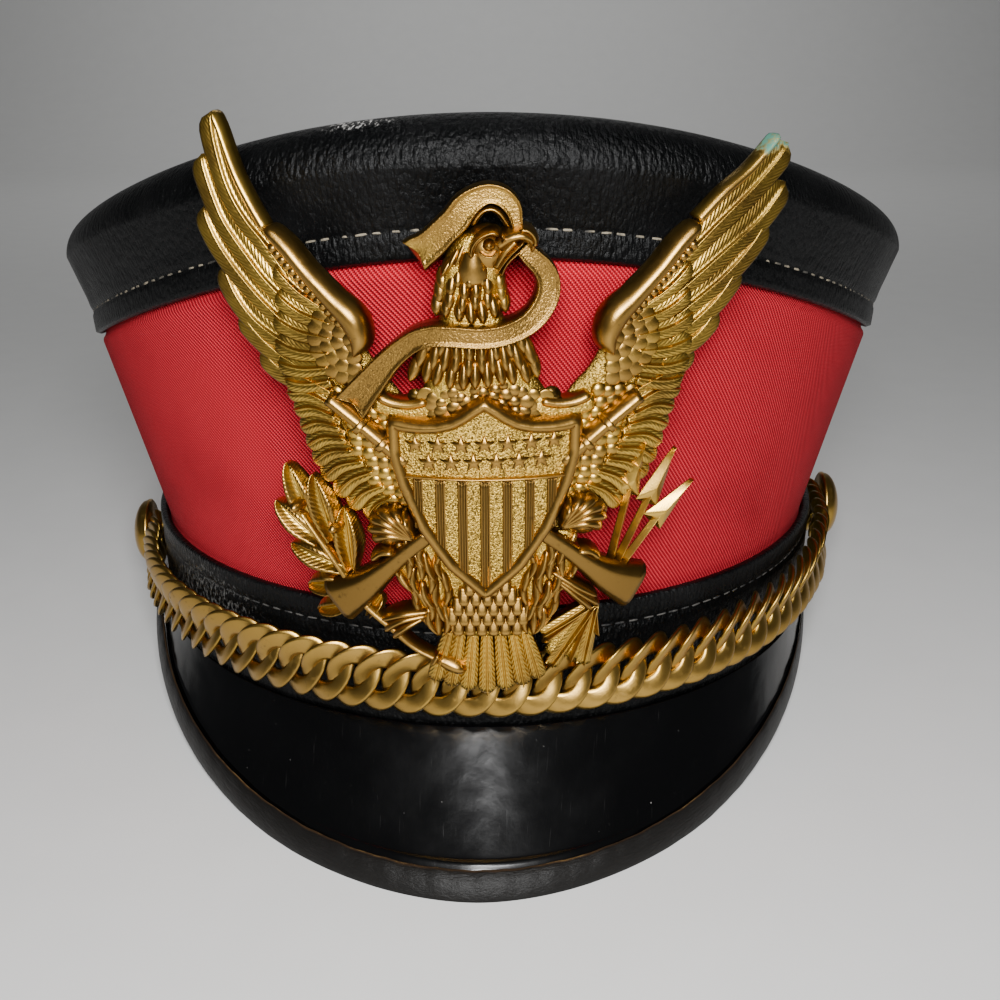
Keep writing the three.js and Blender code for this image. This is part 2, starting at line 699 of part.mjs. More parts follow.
addPiece("crown_wall", crownWall(), FINISHES.cloth);
addPiece("crown_top", topPanel(), FINISHES.leather);
addPiece("top_band", topBand(), FINISHES.leather);
addPiece("lower_band", lowerBand(), FINISHES.leather);
addPiece("visor", visor(), FINISHES.patent);
addPiece("visor_binding", visorBinding(), FINISHES.leather);
addPiece("chin_chain", chinChain(), FINISHES.brass);
addPiece("side_button_left", sideButton(0, -1), FINISHES.brass);
addPiece("side_button_right", sideButton(CHAIN.links - 1, 1), FINISHES.brass);
addPiece("eagle_plate", eaglePlate(), FINISHES.brass);

// Stands the cap on the floor, with the middle of its box over the origin.
cap.rotation.x = -Math.atan(FLOOR_SLOPE);
const standing = new THREE.Group();
standing.add(cap);
standing.updateMatrixWorld(true);
const box = new THREE.Box3().setFromObject(standing, true);
const middle = box.getCenter(new THREE.Vector3());
cap.position.set(-middle.x, -middle.y, -box.min.z);

export default standing;
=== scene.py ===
"""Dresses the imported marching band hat: twill crown, leather bands, patent visor, chain and eagle plate."""

from __future__ import annotations

import logging
import math
from dataclasses import dataclass, field
from enum import Enum
from typing import Optional, Sequence, Union

import bpy
import numpy as np
from bpy.types import ID, Material, Node, NodeSocket, NodeTree, Object
from mathutils import Euler, Matrix, Vector

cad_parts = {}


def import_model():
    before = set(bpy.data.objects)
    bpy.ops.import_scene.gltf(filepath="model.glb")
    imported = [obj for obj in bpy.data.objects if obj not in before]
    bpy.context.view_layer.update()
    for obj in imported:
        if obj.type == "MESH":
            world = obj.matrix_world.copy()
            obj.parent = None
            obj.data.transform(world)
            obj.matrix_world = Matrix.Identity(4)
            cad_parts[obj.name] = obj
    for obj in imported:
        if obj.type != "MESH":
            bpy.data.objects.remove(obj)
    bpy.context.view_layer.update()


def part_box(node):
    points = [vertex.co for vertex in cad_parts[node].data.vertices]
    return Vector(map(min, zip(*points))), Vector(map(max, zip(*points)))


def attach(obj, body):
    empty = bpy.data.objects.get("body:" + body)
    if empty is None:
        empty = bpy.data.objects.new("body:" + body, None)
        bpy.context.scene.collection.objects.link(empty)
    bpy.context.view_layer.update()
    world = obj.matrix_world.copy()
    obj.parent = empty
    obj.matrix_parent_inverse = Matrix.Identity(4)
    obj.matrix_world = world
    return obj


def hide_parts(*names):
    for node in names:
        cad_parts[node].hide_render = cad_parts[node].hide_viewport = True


LOG = logging.getLogger("marching_band_hat")
MM = 0.001
GAP = 0.3

Array = np.ndarray
Rows = Sequence[Sequence[float]]
Place = tuple[float, float]
Triple = tuple[float, float, float]
Colour = tuple[float, float, float, float]
Settings = Optional[dict[str, object]]
Sockets = Optional[dict[Union[str, int], object]]
Marks = dict[str, Union[float, Array]]
Number = Union[float, "Value"]


def smooth_step(low: float, high: float, value: Array) -> Array:
    """Eases from 0 at low to 1 at high.

    Args:
        low: Where the ease starts.
        high: Where it ends.
        value: The places to read.

    Returns:
        The eased share at each place.
    """
    share = np.clip((value - low) / (high - low), 0.0, 1.0)
    return share * share * (3.0 - 2.0 * share)


def smooth_rows(rows: Rows, count: int) -> Array:
    """Draws a smooth line through rows of numbers.

    Args:
        rows: The points to pass through, with any columns after the first two carried along.
        count: How many points to give back.

    Returns:
        An array of count rows, evenly spaced along the line.
    """
    given = np.asarray(rows, float)
    if len(given) == 2:
        share = np.linspace(0.0, 1.0, count)[:, None]
        return given[0] * (1.0 - share) + given[1] * share
    steps = np.linalg.norm(np.diff(given[:, :2], axis=0), axis=1)
    places = np.concatenate([[0.0], np.cumsum(np.maximum(steps, 1e-6))])
    slopes = np.gradient(given, places, axis=0)
    wanted = np.linspace(0.0, places[-1], count)
    low = np.clip(np.searchsorted(places, wanted, side="right") - 1, 0, len(places) - 2)
    span = places[low + 1] - places[low]
    t = ((wanted - places[low]) / span)[:, None]
    span = span[:, None]
    return (
        (2 * t**3 - 3 * t**2 + 1) * given[low]
        + (t**3 - 2 * t**2 + t) * span * slopes[low]
        + (-2 * t**3 + 3 * t**2) * given[low + 1]
        + (t**3 - t**2) * span * slopes[low + 1]
    )


def rounded_loop(corners: Rows, radius: float, step: float) -> Array:
    """Rounds the corners of a closed outline and samples its sides.

    Args:
        corners: The outline's corners in order.
        radius: How far from each corner the rounding starts.
        step: The longest side that is left.

    Returns:
        The sampled outline, without its first point repeated.
    """
    given = np.asarray(corners, float)
    points: list[Array] = []
    for index, corner in enumerate(given):
        before = given[index - 1] - corner
        after = given[(index + 1) % len(given)] - corner
        reach = min(radius, 0.45 * np.linalg.norm(before), 0.45 * np.linalg.norm(after))
        start = corner + before / np.linalg.norm(before) * reach
        end = corner + after / np.linalg.norm(after) * reach
        for t in np.linspace(0.0, 1.0, 6):
            points.append((1 - t) ** 2 * start + 2 * t * (1 - t) * corner + t**2 * end)
    sampled: list[Array] = []
    for index, point in enumerate(points):
        following = points[(index + 1) % len(points)]
        pieces = max(1, math.ceil(np.linalg.norm(following - point) / step))
        for part in range(pieces):
            sampled.append(point + (following - point) * part / pieces)
    return np.array(sampled)


def full_turn(count: int) -> Array:
    """Returns evenly spaced angles round a full turn."""
    return np.linspace(0.0, 2.0 * math.pi, count, endpoint=False)


def travel(line: Array, closed: bool = False) -> Array:
    """Measures the way along a line.

    Args:
        line: The line's points.
        closed: True where the last point joins the first.

    Returns:
        The way from the first point to each point, and on a closed line back to the first.
    """
    whole = np.concatenate([line, line[:1]]) if closed else line
    return np.concatenate([[0.0], np.cumsum(np.linalg.norm(np.diff(whole, axis=0), axis=1))])


def wrapped_uv(across: Array, up: Array) -> Array:
    """Returns a UV map of two measures, with its first column repeated at the end."""
    uv = np.stack(np.broadcast_arrays(across, up), -1)
    return np.concatenate([uv, uv[:, :1]], 1)


def unit(vectors: Array) -> Array:
    """Returns the vectors with a length of 1."""
    return vectors / np.linalg.norm(vectors, axis=-1)[..., None]


def hump(value: Array, middle: float, width: float) -> Array:
    """Returns a soft hump that is 1 at its middle."""
    return np.exp(-(((value - middle) / width) ** 2))


def add_object(name: str, data: ID) -> Object:
    """Returns a new object of that data, linked to the scene."""
    made = bpy.data.objects.new(name, data)
    bpy.context.scene.collection.objects.link(made)
    return made


def add_node(tree: NodeTree, kind: str, settings: Settings, sockets: Sockets) -> Node:
    """Adds a node to a tree.

    Args:
        tree: The tree.
        kind: The node's type.
        settings: Its settings, which are set first.
        sockets: The values or links of its inputs.

    Returns:
        The node.
    """
    made = tree.nodes.new(kind)
    for key, setting in (settings or {}).items():
        setattr(made, key, setting)
    for key, value in (sockets or {}).items():
        if isinstance(value, NodeSocket):
            tree.links.new(value, made.inputs[key])
        else:
            made.inputs[key].default_value = value
    return made


class Patchwork:
    """Collects closed shells into one mesh, with a UV map in millimetres and marks for the finish."""

    def __init__(self) -> None:
        """Starts with no shell."""
        self.points: list[Array] = []
        self.quads: list[Array] = []
        self.quad_uvs: list[Array] = []
        self.triangles: list[Array] = []
        self.triangle_uvs: list[Array] = []
        self.marks: list[dict[str, Array]] = []
        self.count = 0

    def add(
        self,
        grid: Array,
        uv: Optional[Array] = None,
        marks: Optional[Marks] = None,
        ring: bool = False,
    ) -> Patchwork:
        """Adds a shell made of closed sections.

        Args:
            grid: Points as sections by places round each section by 3, in millimetres.
            uv: The UV map with one place more round each section, and one section more on a ring.
            marks: Named numbers for the finish, one for all or one for each point.
            ring: True where the last section joins the first, and False where both ends are capped.

        Returns:
            The patchwork itself.
        """
        rows, columns = grid.shape[:2]
        if uv is None:
            uv = np.zeros((rows + 1, columns + 1, 2))
        index = np.arange(rows * columns).reshape(rows, columns)
        first = np.arange(rows if ring else rows - 1)
        low = index[first]
        high = index[(first + 1) % rows]
        quads = np.stack([low, np.roll(low, -1, 1), np.roll(high, -1, 1), high], -1).reshape(-1, 4)
        low_uv = uv[first]
        high_uv = uv[first + 1]
        corners = [low_uv[:, :-1], low_uv[:, 1:], high_uv[:, 1:], high_uv[:, :-1]]
        quad_uv = np.stack(corners, 2).reshape(-1, 4, 2)
        points = grid.reshape(-1, 3)
        triangles = np.zeros((0, 3), int)
        triangle_uv = np.zeros((0, 3, 2))
        middles: list[int] = []
        if not ring:
            middles = [0, rows - 1]
            points = np.concatenate([points, grid[0].mean(0)[None], grid[-1].mean(0)[None]])
            near, far = index[0], index[-1]
            start = np.full(columns, rows * columns)
            caps = [
                np.stack([near, start, np.roll(near, -1)], -1),
                np.stack([far, np.roll(far, -1), start + 1], -1),
            ]
            triangles = np.concatenate(caps)
            cap_uv = np.concatenate([uv[0, :-1], uv[rows - 1, :-1]])
            triangle_uv = np.repeat(cap_uv[:, None, :], 3, axis=1)
        if self._volume(points, quads, triangles) < 0.0:
            quads = quads[:, ::-1]
            quad_uv = quad_uv[:, ::-1]
            triangles = triangles[:, ::-1]
            triangle_uv = triangle_uv[:, ::-1]
        spread: dict[str, Array] = {}
        for name, value in (marks or {}).items():
            values = np.broadcast_to(np.asarray(value, float), (rows, columns))
            ends = [values[row].mean() for row in middles]
            spread[name] = np.concatenate([values.ravel(), ends])
        self.points.append(points)
        self.quads.append(quads + self.count)
        self.quad_uvs.append(quad_uv)
        self.triangles.append(triangles + self.count)
        self.triangle_uvs.append(triangle_uv)
        self.marks.append(spread)
        self.count += len(points)
        return self

    @staticmethod
    def _volume(points: Array, quads: Array, triangles: Array) -> float:
        """Returns the signed volume inside a shell, which is negative where it is inside out."""
        faces = np.concatenate([quads[:, [0, 1, 2]], quads[:, [0, 2, 3]], triangles])
        a, b, c = (points[faces[:, corner]] for corner in range(3))
        return float(np.einsum("ij,ij->i", a, np.cross(b, c)).sum())

    def to_object(self, name: str, stance: Optional[Stance], finish: Material) -> Object:
        """Makes the mesh object.

        Args:
            name: The piece's name.
            stance: Where the hat stands, or None for a shape at the origin.
            finish: The material of the whole piece.

        Returns:
            The object, linked to the scene.
        """
        level = np.concatenate(self.points)
        points = stance.place(level) if stance else level * MM
        quads = np.concatenate(self.quads)
        triangles = np.concatenate(self.triangles)
        mesh = bpy.data.meshes.new(name)
        mesh.from_pydata(points.tolist(), [], quads.tolist() + triangles.tolist())
        layer = mesh.uv_layers.new(name="UVMap")
        loops = [np.concatenate(uvs).reshape(-1, 2) for uvs in (self.quad_uvs, self.triangle_uvs)]
        layer.data.foreach_set("uv", np.concatenate(loops).astype(np.float32).ravel())
        names = sorted({key for spread in self.marks for key in spread})
        for key in names:
            shells = zip(self.marks, self.points)
            values = [spread.get(key, np.zeros(len(own))) for spread, own in shells]
            attribute = mesh.attributes.new(key, "FLOAT", "POINT")
            attribute.data.foreach_set("value", np.concatenate(values).astype(np.float32))
        mesh.polygons.foreach_set("use_smooth", np.ones(len(mesh.polygons), bool))
        mesh.materials.append(finish)
        mesh.validate()
        mesh.update()
        return add_object(name, mesh)


@dataclass(frozen=True)
class Stance:
    """How the hat stands: it is worked out level, in millimetres, then leaned back onto the floor."""

    forward: float
    floor_front: Place = (-129.0, -20.0)
    floor_back: Place = (103.2, 0.35)

    @property
    def lean(self) -> float:
        """Returns the angle between the band and the floor."""
        rise = self.floor_back[1] - self.floor_front[1]
        return math.atan2(rise, self.floor_back[0] - self.floor_front[0])

    def floor_height(self, y: Array) -> Array:
        """Returns the floor's height under each place of the level hat."""
        return self.floor_front[1] + (y - self.floor_front[0]) * math.tan(self.lean)

    def turn(self, vectors: Array) -> Array:
        """Returns directions of the level hat as they point when it stands."""
        cosine, sine = math.cos(self.lean), math.sin(self.lean)
        x, y, z = np.moveaxis(np.asarray(vectors, float), -1, 0)
        return np.stack([x, y * cosine + z * sine, z * cosine - y * sine], -1)

    def place(self, points: Array) -> Array:
        """Returns points of the level hat, in millimetres, as they stand, in metres."""
        cosine, sine = math.cos(self.lean), math.sin(self.lean)
        lift = self.floor_back[0] * sine - self.floor_back[1] * cosine
        return (self.turn(points) + np.array([0.0, self.forward, lift])) * MM


@dataclass(frozen=True)
class Oval:
    """The oval that the crown and its bands follow: the front half of each level rises."""

    narrowing: float = 19.8
    narrowed_from: float = 100.0
    levels: tuple[float, ...] = (26.0, 67.1, 83.4)
    rises: tuple[float, ...] = (0.0, 26.5, 22.9)

    def point(self, radius: Array, angle: Array, z: Array, reach: Optional[float] = None) -> Array:
        """Finds points of the crown.

        Args:
            radius: The reach from the middle to the front.
            angle: The turn from the front, positive to the right.
            z: The level at the sides.
            reach: The radius at which the full rise is reached, or each point's own.

        Returns:
            The points in millimetres.
        """
        radius, angle, z = np.broadcast_arrays(radius, angle, z)
        narrowed = radius - self.narrowing * np.minimum(1.0, radius / self.narrowed_from)
        share = np.cos(angle) * (1.0 if reach is None else radius / reach)
        rise = np.interp(z, self.levels, self.rises) * np.maximum(0.0, share) ** 2
        return np.stack([narrowed * np.sin(angle), -radius * np.cos(angle), z + rise], -1)

    def revolve(self, profile: Array, columns: int, reach: Optional[float] = None) -> Array:
        """Turns a profile of radius and level round the oval.

        Args:
            profile: The profile's points.
            columns: How many places round the oval.
            reach: As for point.

        Returns:
            Points as profile places by places round the oval by 3.
        """
        angle = np.linspace(-math.pi, math.pi, columns, endpoint=False)
        return self.point(profile[:, 0, None], angle[None, :], profile[:, 1, None], reach)


def lathe_uv(grid: Array, level: int) -> Array:
    """Measures a revolved shell for its UV map.

    Args:
        grid: The shell's points, profile by round.
        level: The profile place whose length round the oval sets the map's width.

    Returns:
        The map in millimetres, with one more row and column than the grid.
    """
    around = travel(grid[level], True)
    across = around - around[-1] / 2
    up = travel(grid[:, grid.shape[1] // 2], True)
    return np.stack(np.broadcast_arrays(across[None, :], up[:, None]), -1)


class Value:
    """One shader socket that takes part in sums."""

    def __init__(self, shader: Shader, socket: NodeSocket) -> None:
        """Keeps the socket and the shader that it belongs to."""
        self.shader = shader
        self.socket = socket

    def __add__(self, other: Number) -> Value:
        """Returns the sum."""
        return self.shader.math("ADD", self, other)

    __radd__ = __add__

    def __sub__(self, other: Number) -> Value:
        """Returns the difference."""
        return self.shader.math("SUBTRACT", self, other)

    def __rsub__(self, other: Number) -> Value:
        """Returns the difference from a number."""
        return self.shader.math("SUBTRACT", other, self)

    def __mul__(self, other: Number) -> Value:
        """Returns the product."""
        return self.shader.math("MULTIPLY", self, other)

    __rmul__ = __mul__

    def __truediv__(self, other: Number) -> Value:
        """Returns the quotient."""
        return self.shader.math("DIVIDE", self, other)


class Shader:
    """Builds one procedural material."""

    def __init__(self, name: str) -> None:
        """Starts an empty node tree."""
        self.material = bpy.data.materials.new(name)
        self.material.use_nodes = True
        self.tree = self.material.node_tree
        self.tree.nodes.clear()

    def node(self, kind: str, settings: Settings = None, sockets: Sockets = None) -> Node:
        """Returns a new node of a type, with its settings and the values or links of its inputs."""
        plain = {key: getattr(value, "socket", value) for key, value in (sockets or {}).items()}
        return add_node(self.tree, kind, settings, plain)

    def math(self, operation: str, first: Number, second: Number = 0.0) -> Value:
        """Returns the result of a Math node."""
        sockets = {0: first, 1: second}
        return Value(self, self.node("ShaderNodeMath", {"operation": operation}, sockets).outputs[0])

    def sine(self, turns: Value) -> Value:
        """Returns a wave from 0 to 1 with one period for each whole turn."""
        return self.math("SINE", turns * (2.0 * math.pi)) * 0.5 + 0.5

    def ease(self, value: Value, low: float, high: float) -> Value:
        """Returns a smooth rise from 0 at low to 1 at high, or a fall where low is above high."""
        settings = {"interpolation_type": "SMOOTHSTEP"}
        if low > high:
            return 1.0 - self.ease(value, high, low)
        sockets = {"Value": value, "From Min": low, "From Max": high}
        return Value(self, self.node("ShaderNodeMapRange", settings, sockets).outputs[0])

    def mix(self, share: Number, first: Union[Colour, Value], second: Union[Colour, Value]) -> Value:
        """Returns a colour between two."""
        sockets = {0: share, 6: first, 7: second}
        return Value(self, self.node("ShaderNodeMix", {"data_type": "RGBA"}, sockets).outputs[2])

    def places(self) -> Value:
        """Returns the Object coordinates."""
        return Value(self, self.node("ShaderNodeTexCoord").outputs["Object"])

    def surface_map(self) -> tuple[Value, Value]:
        """Returns both numbers of the UV map, in millimetres."""
        uv = Value(self, self.node("ShaderNodeUVMap", {"uv_map": "UVMap"}).outputs[0])
        across, up, _ = self.split(uv)
        return across, up

    def split(self, vector: Value) -> tuple[Value, Value, Value]:
        """Returns the three numbers of a vector."""
        made = self.node("ShaderNodeSeparateXYZ", None, {0: vector})
        return tuple(Value(self, output) for output in made.outputs)

    def join(self, x: Number, y: Number, z: Number = 0.0) -> Value:
        """Returns a vector of three numbers."""
        return Value(self, self.node("ShaderNodeCombineXYZ", None, {0: x, 1: y, 2: z}).outputs[0])

    def mark(self, name: str) -> Value:
        """Returns a piece's own attribute."""
        made = self.node("ShaderNodeAttribute", {"attribute_name": name})
        return Value(self, made.outputs["Fac"])

    def noise(self, vector: Value, scale: float, detail: float = 2.0, rough: float = 0.5) -> Value:
        """Returns cloudy noise about 0.5."""
        sockets = {"Vector": vector, "Scale": scale, "Detail": detail, "Roughness": rough}
        return Value(self, self.node("ShaderNodeTexNoise", None, sockets).outputs[0])

    def cells(self, vector: Value, scale: float) -> Value:
        """Returns the distance to the nearest of scattered points."""
        sockets = {"Vector": vector, "Scale": scale}
        return Value(self, self.node("ShaderNodeTexVoronoi", None, sockets).outputs["Distance"])

    def bump(self, height: Value, depth: float) -> Value:
        """Returns a normal that follows a height of 0 to 1, which stands for depth in metres."""
        sockets = {"Strength": 1.0, "Distance": depth, "Height": height}
        return Value(self, self.node("ShaderNodeBump", None, sockets).outputs[0])

    def surface(
        self,
        base: Value,
        rough: Number,
        normal: Optional[Value] = None,
        others: Sockets = None,
    ) -> Material:
        """Ends the material.

        Args:
            base: Its colour.
            rough: Its roughness.
            normal: Its normal, or None where it is smooth.
            others: The values or links of the shader's other inputs.

        Returns:
            The material.
        """
        sockets = {"Base Color": base, "Roughness": rough, **(others or {})}
        if normal is not None:
            sockets["Normal"] = normal
        made = self.node("ShaderNodeBsdfPrincipled", None, sockets)
        self.node("ShaderNodeOutputMaterial", None, {"Surface": Value(self, made.outputs[0])})
        return self.material


@dataclass(frozen=True)
class TwillFinish:
    """Red wool twill with a fine diagonal rib, painted shade in its grooves and painted highlights on its
    crests.
    """

    rib: float = 0.86
    thread: float = 0.58
    slope: float = 0.8
    roughness: float = 0.86
    specular: float = 0.12
    depth: float = 0.00045
    # The darkest colour is painted shade in the rib grooves and also random darker mottle; the palest colour
    # is a painted highlight on the rib crests.
    deep: Colour = (0.17, 0.001, 0.005, 1.0)
    plain: Colour = (0.48, 0.004, 0.016, 1.0)
    wear_and_highlight: Colour = (0.80, 0.085, 0.105, 1.0)

    def material(self) -> Material:
        """Returns the cloth material."""
        shader = Shader("red_twill")
        across, up = shader.surface_map()
        flat = shader.join(across, up)
        drift = shader.noise(flat, 0.09) * 0.5
        rib = shader.sine((across + up * self.slope) / self.rib + drift)
        thread = shader.sine((across * self.slope - up) / self.thread + rib * 0.35)
        fuzz = shader.noise(flat, 3.2, 3.0, 0.7)
        height = rib * 0.55 + thread * 0.34 + fuzz * 0.28
        lit = shader.ease(height, 0.62, 1.02)
        shade = shader.ease(height, 0.20, 0.62)
        cloudy = shader.noise(flat, 0.035, 3.0)
        # Painted shade fills the rib grooves and a painted highlight lights the rib crests; the cloudy noise
        # adds random darker mottle.
        base = shader.mix(shade, self.deep, self.plain)
        base = shader.mix(lit * 0.8, base, self.wear_and_highlight)
        base = shader.mix(shader.ease(cloudy, 0.45, 0.80) * 0.35, base, self.deep)
        normal = shader.bump(height, self.depth)
        return shader.surface(base, self.roughness, normal, {"Specular IOR Level": self.specular})


@dataclass(frozen=True)
class LeatherFinish:
    """Black band leather with fine upright creases and grey scuffs."""

    name: str
    creases: float = 0.5
    scuffs: float = 0.0
    scuff_middle: Place = (0.0, 0.0)
    scuff_reach: float = 30.0
    specular: float = 0.13
    depth: float = 0.0007
    black: Colour = (0.0012, 0.0013, 0.0014, 1.0)
    grey: Colour = (0.005, 0.005, 0.0052, 1.0)
    bare: Colour = (0.42, 0.41, 0.39, 1.0)

    def material(self) -> Material:
        """Returns the leather material."""
        shader = Shader(self.name)
        across, up = shader.surface_map()
        flat = shader.join(across, up)
        creases = shader.noise(shader.join(across * 1.05, up * 0.20), 1.0, 3.0, 0.6)
        pebble = shader.cells(shader.join(across, up * 0.62), 1.25)
        grain = shader.noise(flat, 2.6, 3.0, 0.65)
        patch = shader.noise(flat, 0.055, 3.0)
        away_x = (across - self.scuff_middle[0]) / self.scuff_reach
        away_y = (up - self.scuff_middle[1]) / (self.scuff_reach * 0.4)
        near = shader.ease(away_x * away_x + away_y * away_y, 1.0, 0.0)
        flakes = shader.noise(shader.join(across * 1.1, up * 0.55), 1.3, 4.0, 0.62)
        loose = shader.noise(flat, 1.9, 2.0, 0.55)
        bare = shader.ease(flakes + near * 0.16, 0.66, 0.74) * near * self.scuffs
        specks = shader.ease(loose, 0.755, 0.79) * 0.4 * self.scuffs
        wear_and_highlight = shader.ease(patch, 0.42, 0.75)
        base = shader.mix(wear_and_highlight * 0.6, self.black, self.grey)
        base = shader.mix(shader.math("MAXIMUM", bare, specks), base, self.bare)
        height = creases * (0.4 + 0.6 * wear_and_highlight) * self.creases + (1.0 - pebble) * 0.35 + grain * 0.25
        rough = 0.24 + grain * 0.14 + wear_and_highlight * 0.10 + bare * 0.3
        normal = shader.bump(height, self.depth)
        return shader.surface(base, rough, normal, {"Specular IOR Level": self.specular})


@dataclass(frozen=True)
class PatentFinish:
    """Glossy black patent leather with fine scratches and dust."""

    specular: float = 0.55
    coat: float = 0.12
    coat_roughness: float = 0.08
    depth: float = 0.0005
    black: Colour = (0.0009, 0.0009, 0.001, 1.0)
    dust: Colour = (0.20, 0.19, 0.18, 1.0)

    def material(self) -> Material:
        """Returns the patent leather material."""
        shader = Shader("patent_leather")
        across, up = shader.surface_map()
        flat = shader.join(across, up)
        waves = shader.noise(flat, 0.07, 2.0)
        orange_peel = shader.noise(flat, 0.9, 2.0)
        scratch = shader.noise(shader.join(across * 2.4, up * 0.08), 1.0, 3.0, 0.7)
        thin = shader.ease(scratch, 0.66, 0.70)
        haze = shader.noise(flat, 0.045, 4.0, 0.6)
        speck = shader.ease(shader.noise(flat, 1.35, 1.0, 0.4), 0.80, 0.83)
        base = shader.mix(shader.math("MAXIMUM", speck * 0.7, thin * 0.03), self.black, self.dust)
        rough = 0.16 + shader.ease(haze, 0.35, 0.8) * 0.10 + thin * 0.06 + speck * 0.4
        normal = shader.bump(waves * 0.5 + orange_peel * 0.02, self.depth)
        gloss = {
            "Specular IOR Level": self.specular,
            "Coat Weight": self.coat,
            "Coat Roughness": self.coat_roughness,
        }
        return shader.surface(base, rough, normal, gloss)


@dataclass(frozen=True)
class BindingFinish:
    """Black rolled binding, rubbed brown and gold along its crest."""

    specular: float = 0.18
    depth: float = 0.0003
    black: Colour = (0.006, 0.0055, 0.005, 1.0)
    brown: Colour = (0.035, 0.020, 0.010, 1.0)
    gold: Colour = (0.26, 0.16, 0.06, 1.0)

    def material(self) -> Material:
        """Returns the binding material."""
        shader = Shader("binding_leather")
        along, around = shader.surface_map()
        crest = shader.mark("crest")
        long_noise = shader.noise(shader.join(along * 0.06, around * 0.6), 1.0, 4.0, 0.65)
        fine = shader.noise(shader.join(along * 0.5, around * 2.0), 1.0, 4.0, 0.7)
        rubbed = shader.ease(crest + (long_noise - 0.5) * 0.9, 0.62, 0.98)
        bright = shader.ease(crest + (fine - 0.5) * 0.5 + (long_noise - 0.5) * 0.8, 0.98, 1.16)
        base = shader.mix(rubbed, self.black, self.brown)
        base = shader.mix(bright, base, self.gold)
        rough = 0.34 + fine * 0.18 - bright * 0.08
        normal = shader.bump(fine * 0.6 + long_noise * 0.4, self.depth)
        metal = {"Metallic": bright * 0.4, "Specular IOR Level": self.specular}
        return shader.surface(base, rough, normal, metal)


@dataclass(frozen=True)
class BrassFinish:
    """Old brass: brown on the rubbed heights, yellow in the hollows, with painted shade in its grooves, pits
    and crevices, and stamped fine patterns.
    """

    name: str
    brown: Colour = (0.32, 0.182, 0.044, 1.0)
    gold: Colour = (0.70, 0.45, 0.08, 1.0)
    dark: Colour = (0.05, 0.028, 0.009, 1.0)
    green: Colour = (0.06, 0.18, 0.13, 1.0)
    barb: float = 0.95
    barb_slope: float = 1.9
    ruling: float = 0.46
    grain: float = 0.34
    patina: float = 0.0
    patina_levels: Place = (0.118, 0.131)
    patina_sides: Place = (0.036, 0.043)
    depth: float = 0.0003

    def material(self) -> Material:
        """Returns the brass material."""
        shader = Shader(self.name)
        along, across = shader.surface_map()
        place = shader.places()
        x, _, z = shader.split(place)
        height = shader.mark("height")
        stipple = shader.mark("stipple")
        lined = shader.mark("lined")
        away = shader.math("ABSOLUTE", across)
        barbs = shader.mark("barb") * shader.ease(away, 0.15, 0.6)
        barb_wave = shader.sine((along - away * self.barb_slope) / self.barb)
        line_wave = shader.sine(across / self.ruling)
        grains = shader.noise(place, 1.0 / (self.grain * MM), 2.0, 0.6)
        cloudy = shader.noise(place, 130.0, 4.0, 0.6)
        spots = shader.noise(place, 900.0, 3.0, 0.6)
        raised = height + (cloudy - 0.5) * 0.7
        base = shader.mix(shader.ease(raised, 0.16, 0.62), self.gold, self.brown)
        pits = stipple * shader.ease(grains, 0.56, 0.40)
        # Painted shade: the barb grooves, the ruled lines and the stipple pits are darkened towards the dark
        # colour.
        hollow = barbs * (1.0 - barb_wave) * 0.3 + lined * (1.0 - line_wave) * 0.6 + pits * 0.8
        base = shader.mix(shader.math("MINIMUM", hollow, 0.8), base, self.dark)
        # Painted shade where the shade mark is set, mostly along the foot of each raised form.
        base = shader.mix(shader.mark("crease") * 0.7, base, self.dark)
        tarnish = shader.ease(spots + (cloudy - 0.5) * 0.6, 0.60, 0.86)
        base = shader.mix(tarnish * 0.55, base, self.dark)
        if self.patina > 0.0:
            tip = shader.ease(z, *self.patina_levels) * shader.ease(x, *self.patina_sides)
            crust = shader.ease(shader.noise(place, 420.0, 4.0, 0.7) * tip, 0.27, 0.46) * self.patina
            base = shader.mix(crust, base, self.green)
        else:
            crust = tarnish * 0.2
        pattern = barb_wave * barbs * 0.14 + line_wave * lined * 0.9 + grains * (stipple * 1.3 + 0.06)
        rough = 0.25 + spots * 0.12 + tarnish * 0.14 + crust * 0.35 + stipple * 0.06
        normal = shader.bump(pattern, self.depth)
        return shader.surface(base, rough, normal, {"Metallic": 1.0 - crust * 0.8})


@dataclass(frozen=True)
class ThreadFinish:
    """Frayed sewing thread."""

    name: str
    thread: Colour
    dirt: Colour
    roughness: float = 0.8
    depth: float = 0.0002

    def material(self) -> Material:
        """Returns the thread material."""
        shader = Shader(self.name)
        place = shader.places()
        wear_and_highlight = shader.ease(shader.noise(place, 260.0, 3.0), 0.40, 0.62)
        ply = shader.noise(place, 2600.0, 2.0)
        base = shader.mix(wear_and_highlight, self.thread, self.dirt)
        return shader.surface(base, self.roughness, shader.bump(ply, self.depth))


@dataclass(frozen=True)
class FloorFinish:
    """Plain pale studio paper."""

    pale: Colour = (0.62, 0.62, 0.61, 1.0)
    paler: Colour = (0.66, 0.66, 0.65, 1.0)
    roughness: float = 0.75

    def material(self) -> Material:
        """Returns the floor material."""
        shader = Shader("floor_paper")
        mottle = shader.noise(shader.places(), 60.0, 3.0)
        return shader.surface(shader.mix(mottle, self.pale, self.paler), self.roughness)


class Slot(Enum):
    """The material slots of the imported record."""

    TWILL = "red_twill"
    LEATHER = "black_leather"
    PATENT = "patent_leather"
    BINDING = "binding_leather"
    CHAIN = "chain_brass"
    PLATE = "plate_brass"


def settle(piece: Object, slot: Slot, *nodes: str) -> Object:
    """Ties a finished piece to the frame.

    Args:
        piece: The piece.
        slot: The material slot of the imported record; not used.
        *nodes: The solids that it stands for.

    Returns:
        The piece.
    """
    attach(piece, "root")
    if nodes:
        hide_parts(*nodes)
    LOG.info("%s: %d faces", piece.name, len(piece.data.polygons))
    return piece


@dataclass
class PathRow:
    """A row of places with the directions along the row and out of the surface."""

    points: Array
    along: Array
    out: Array


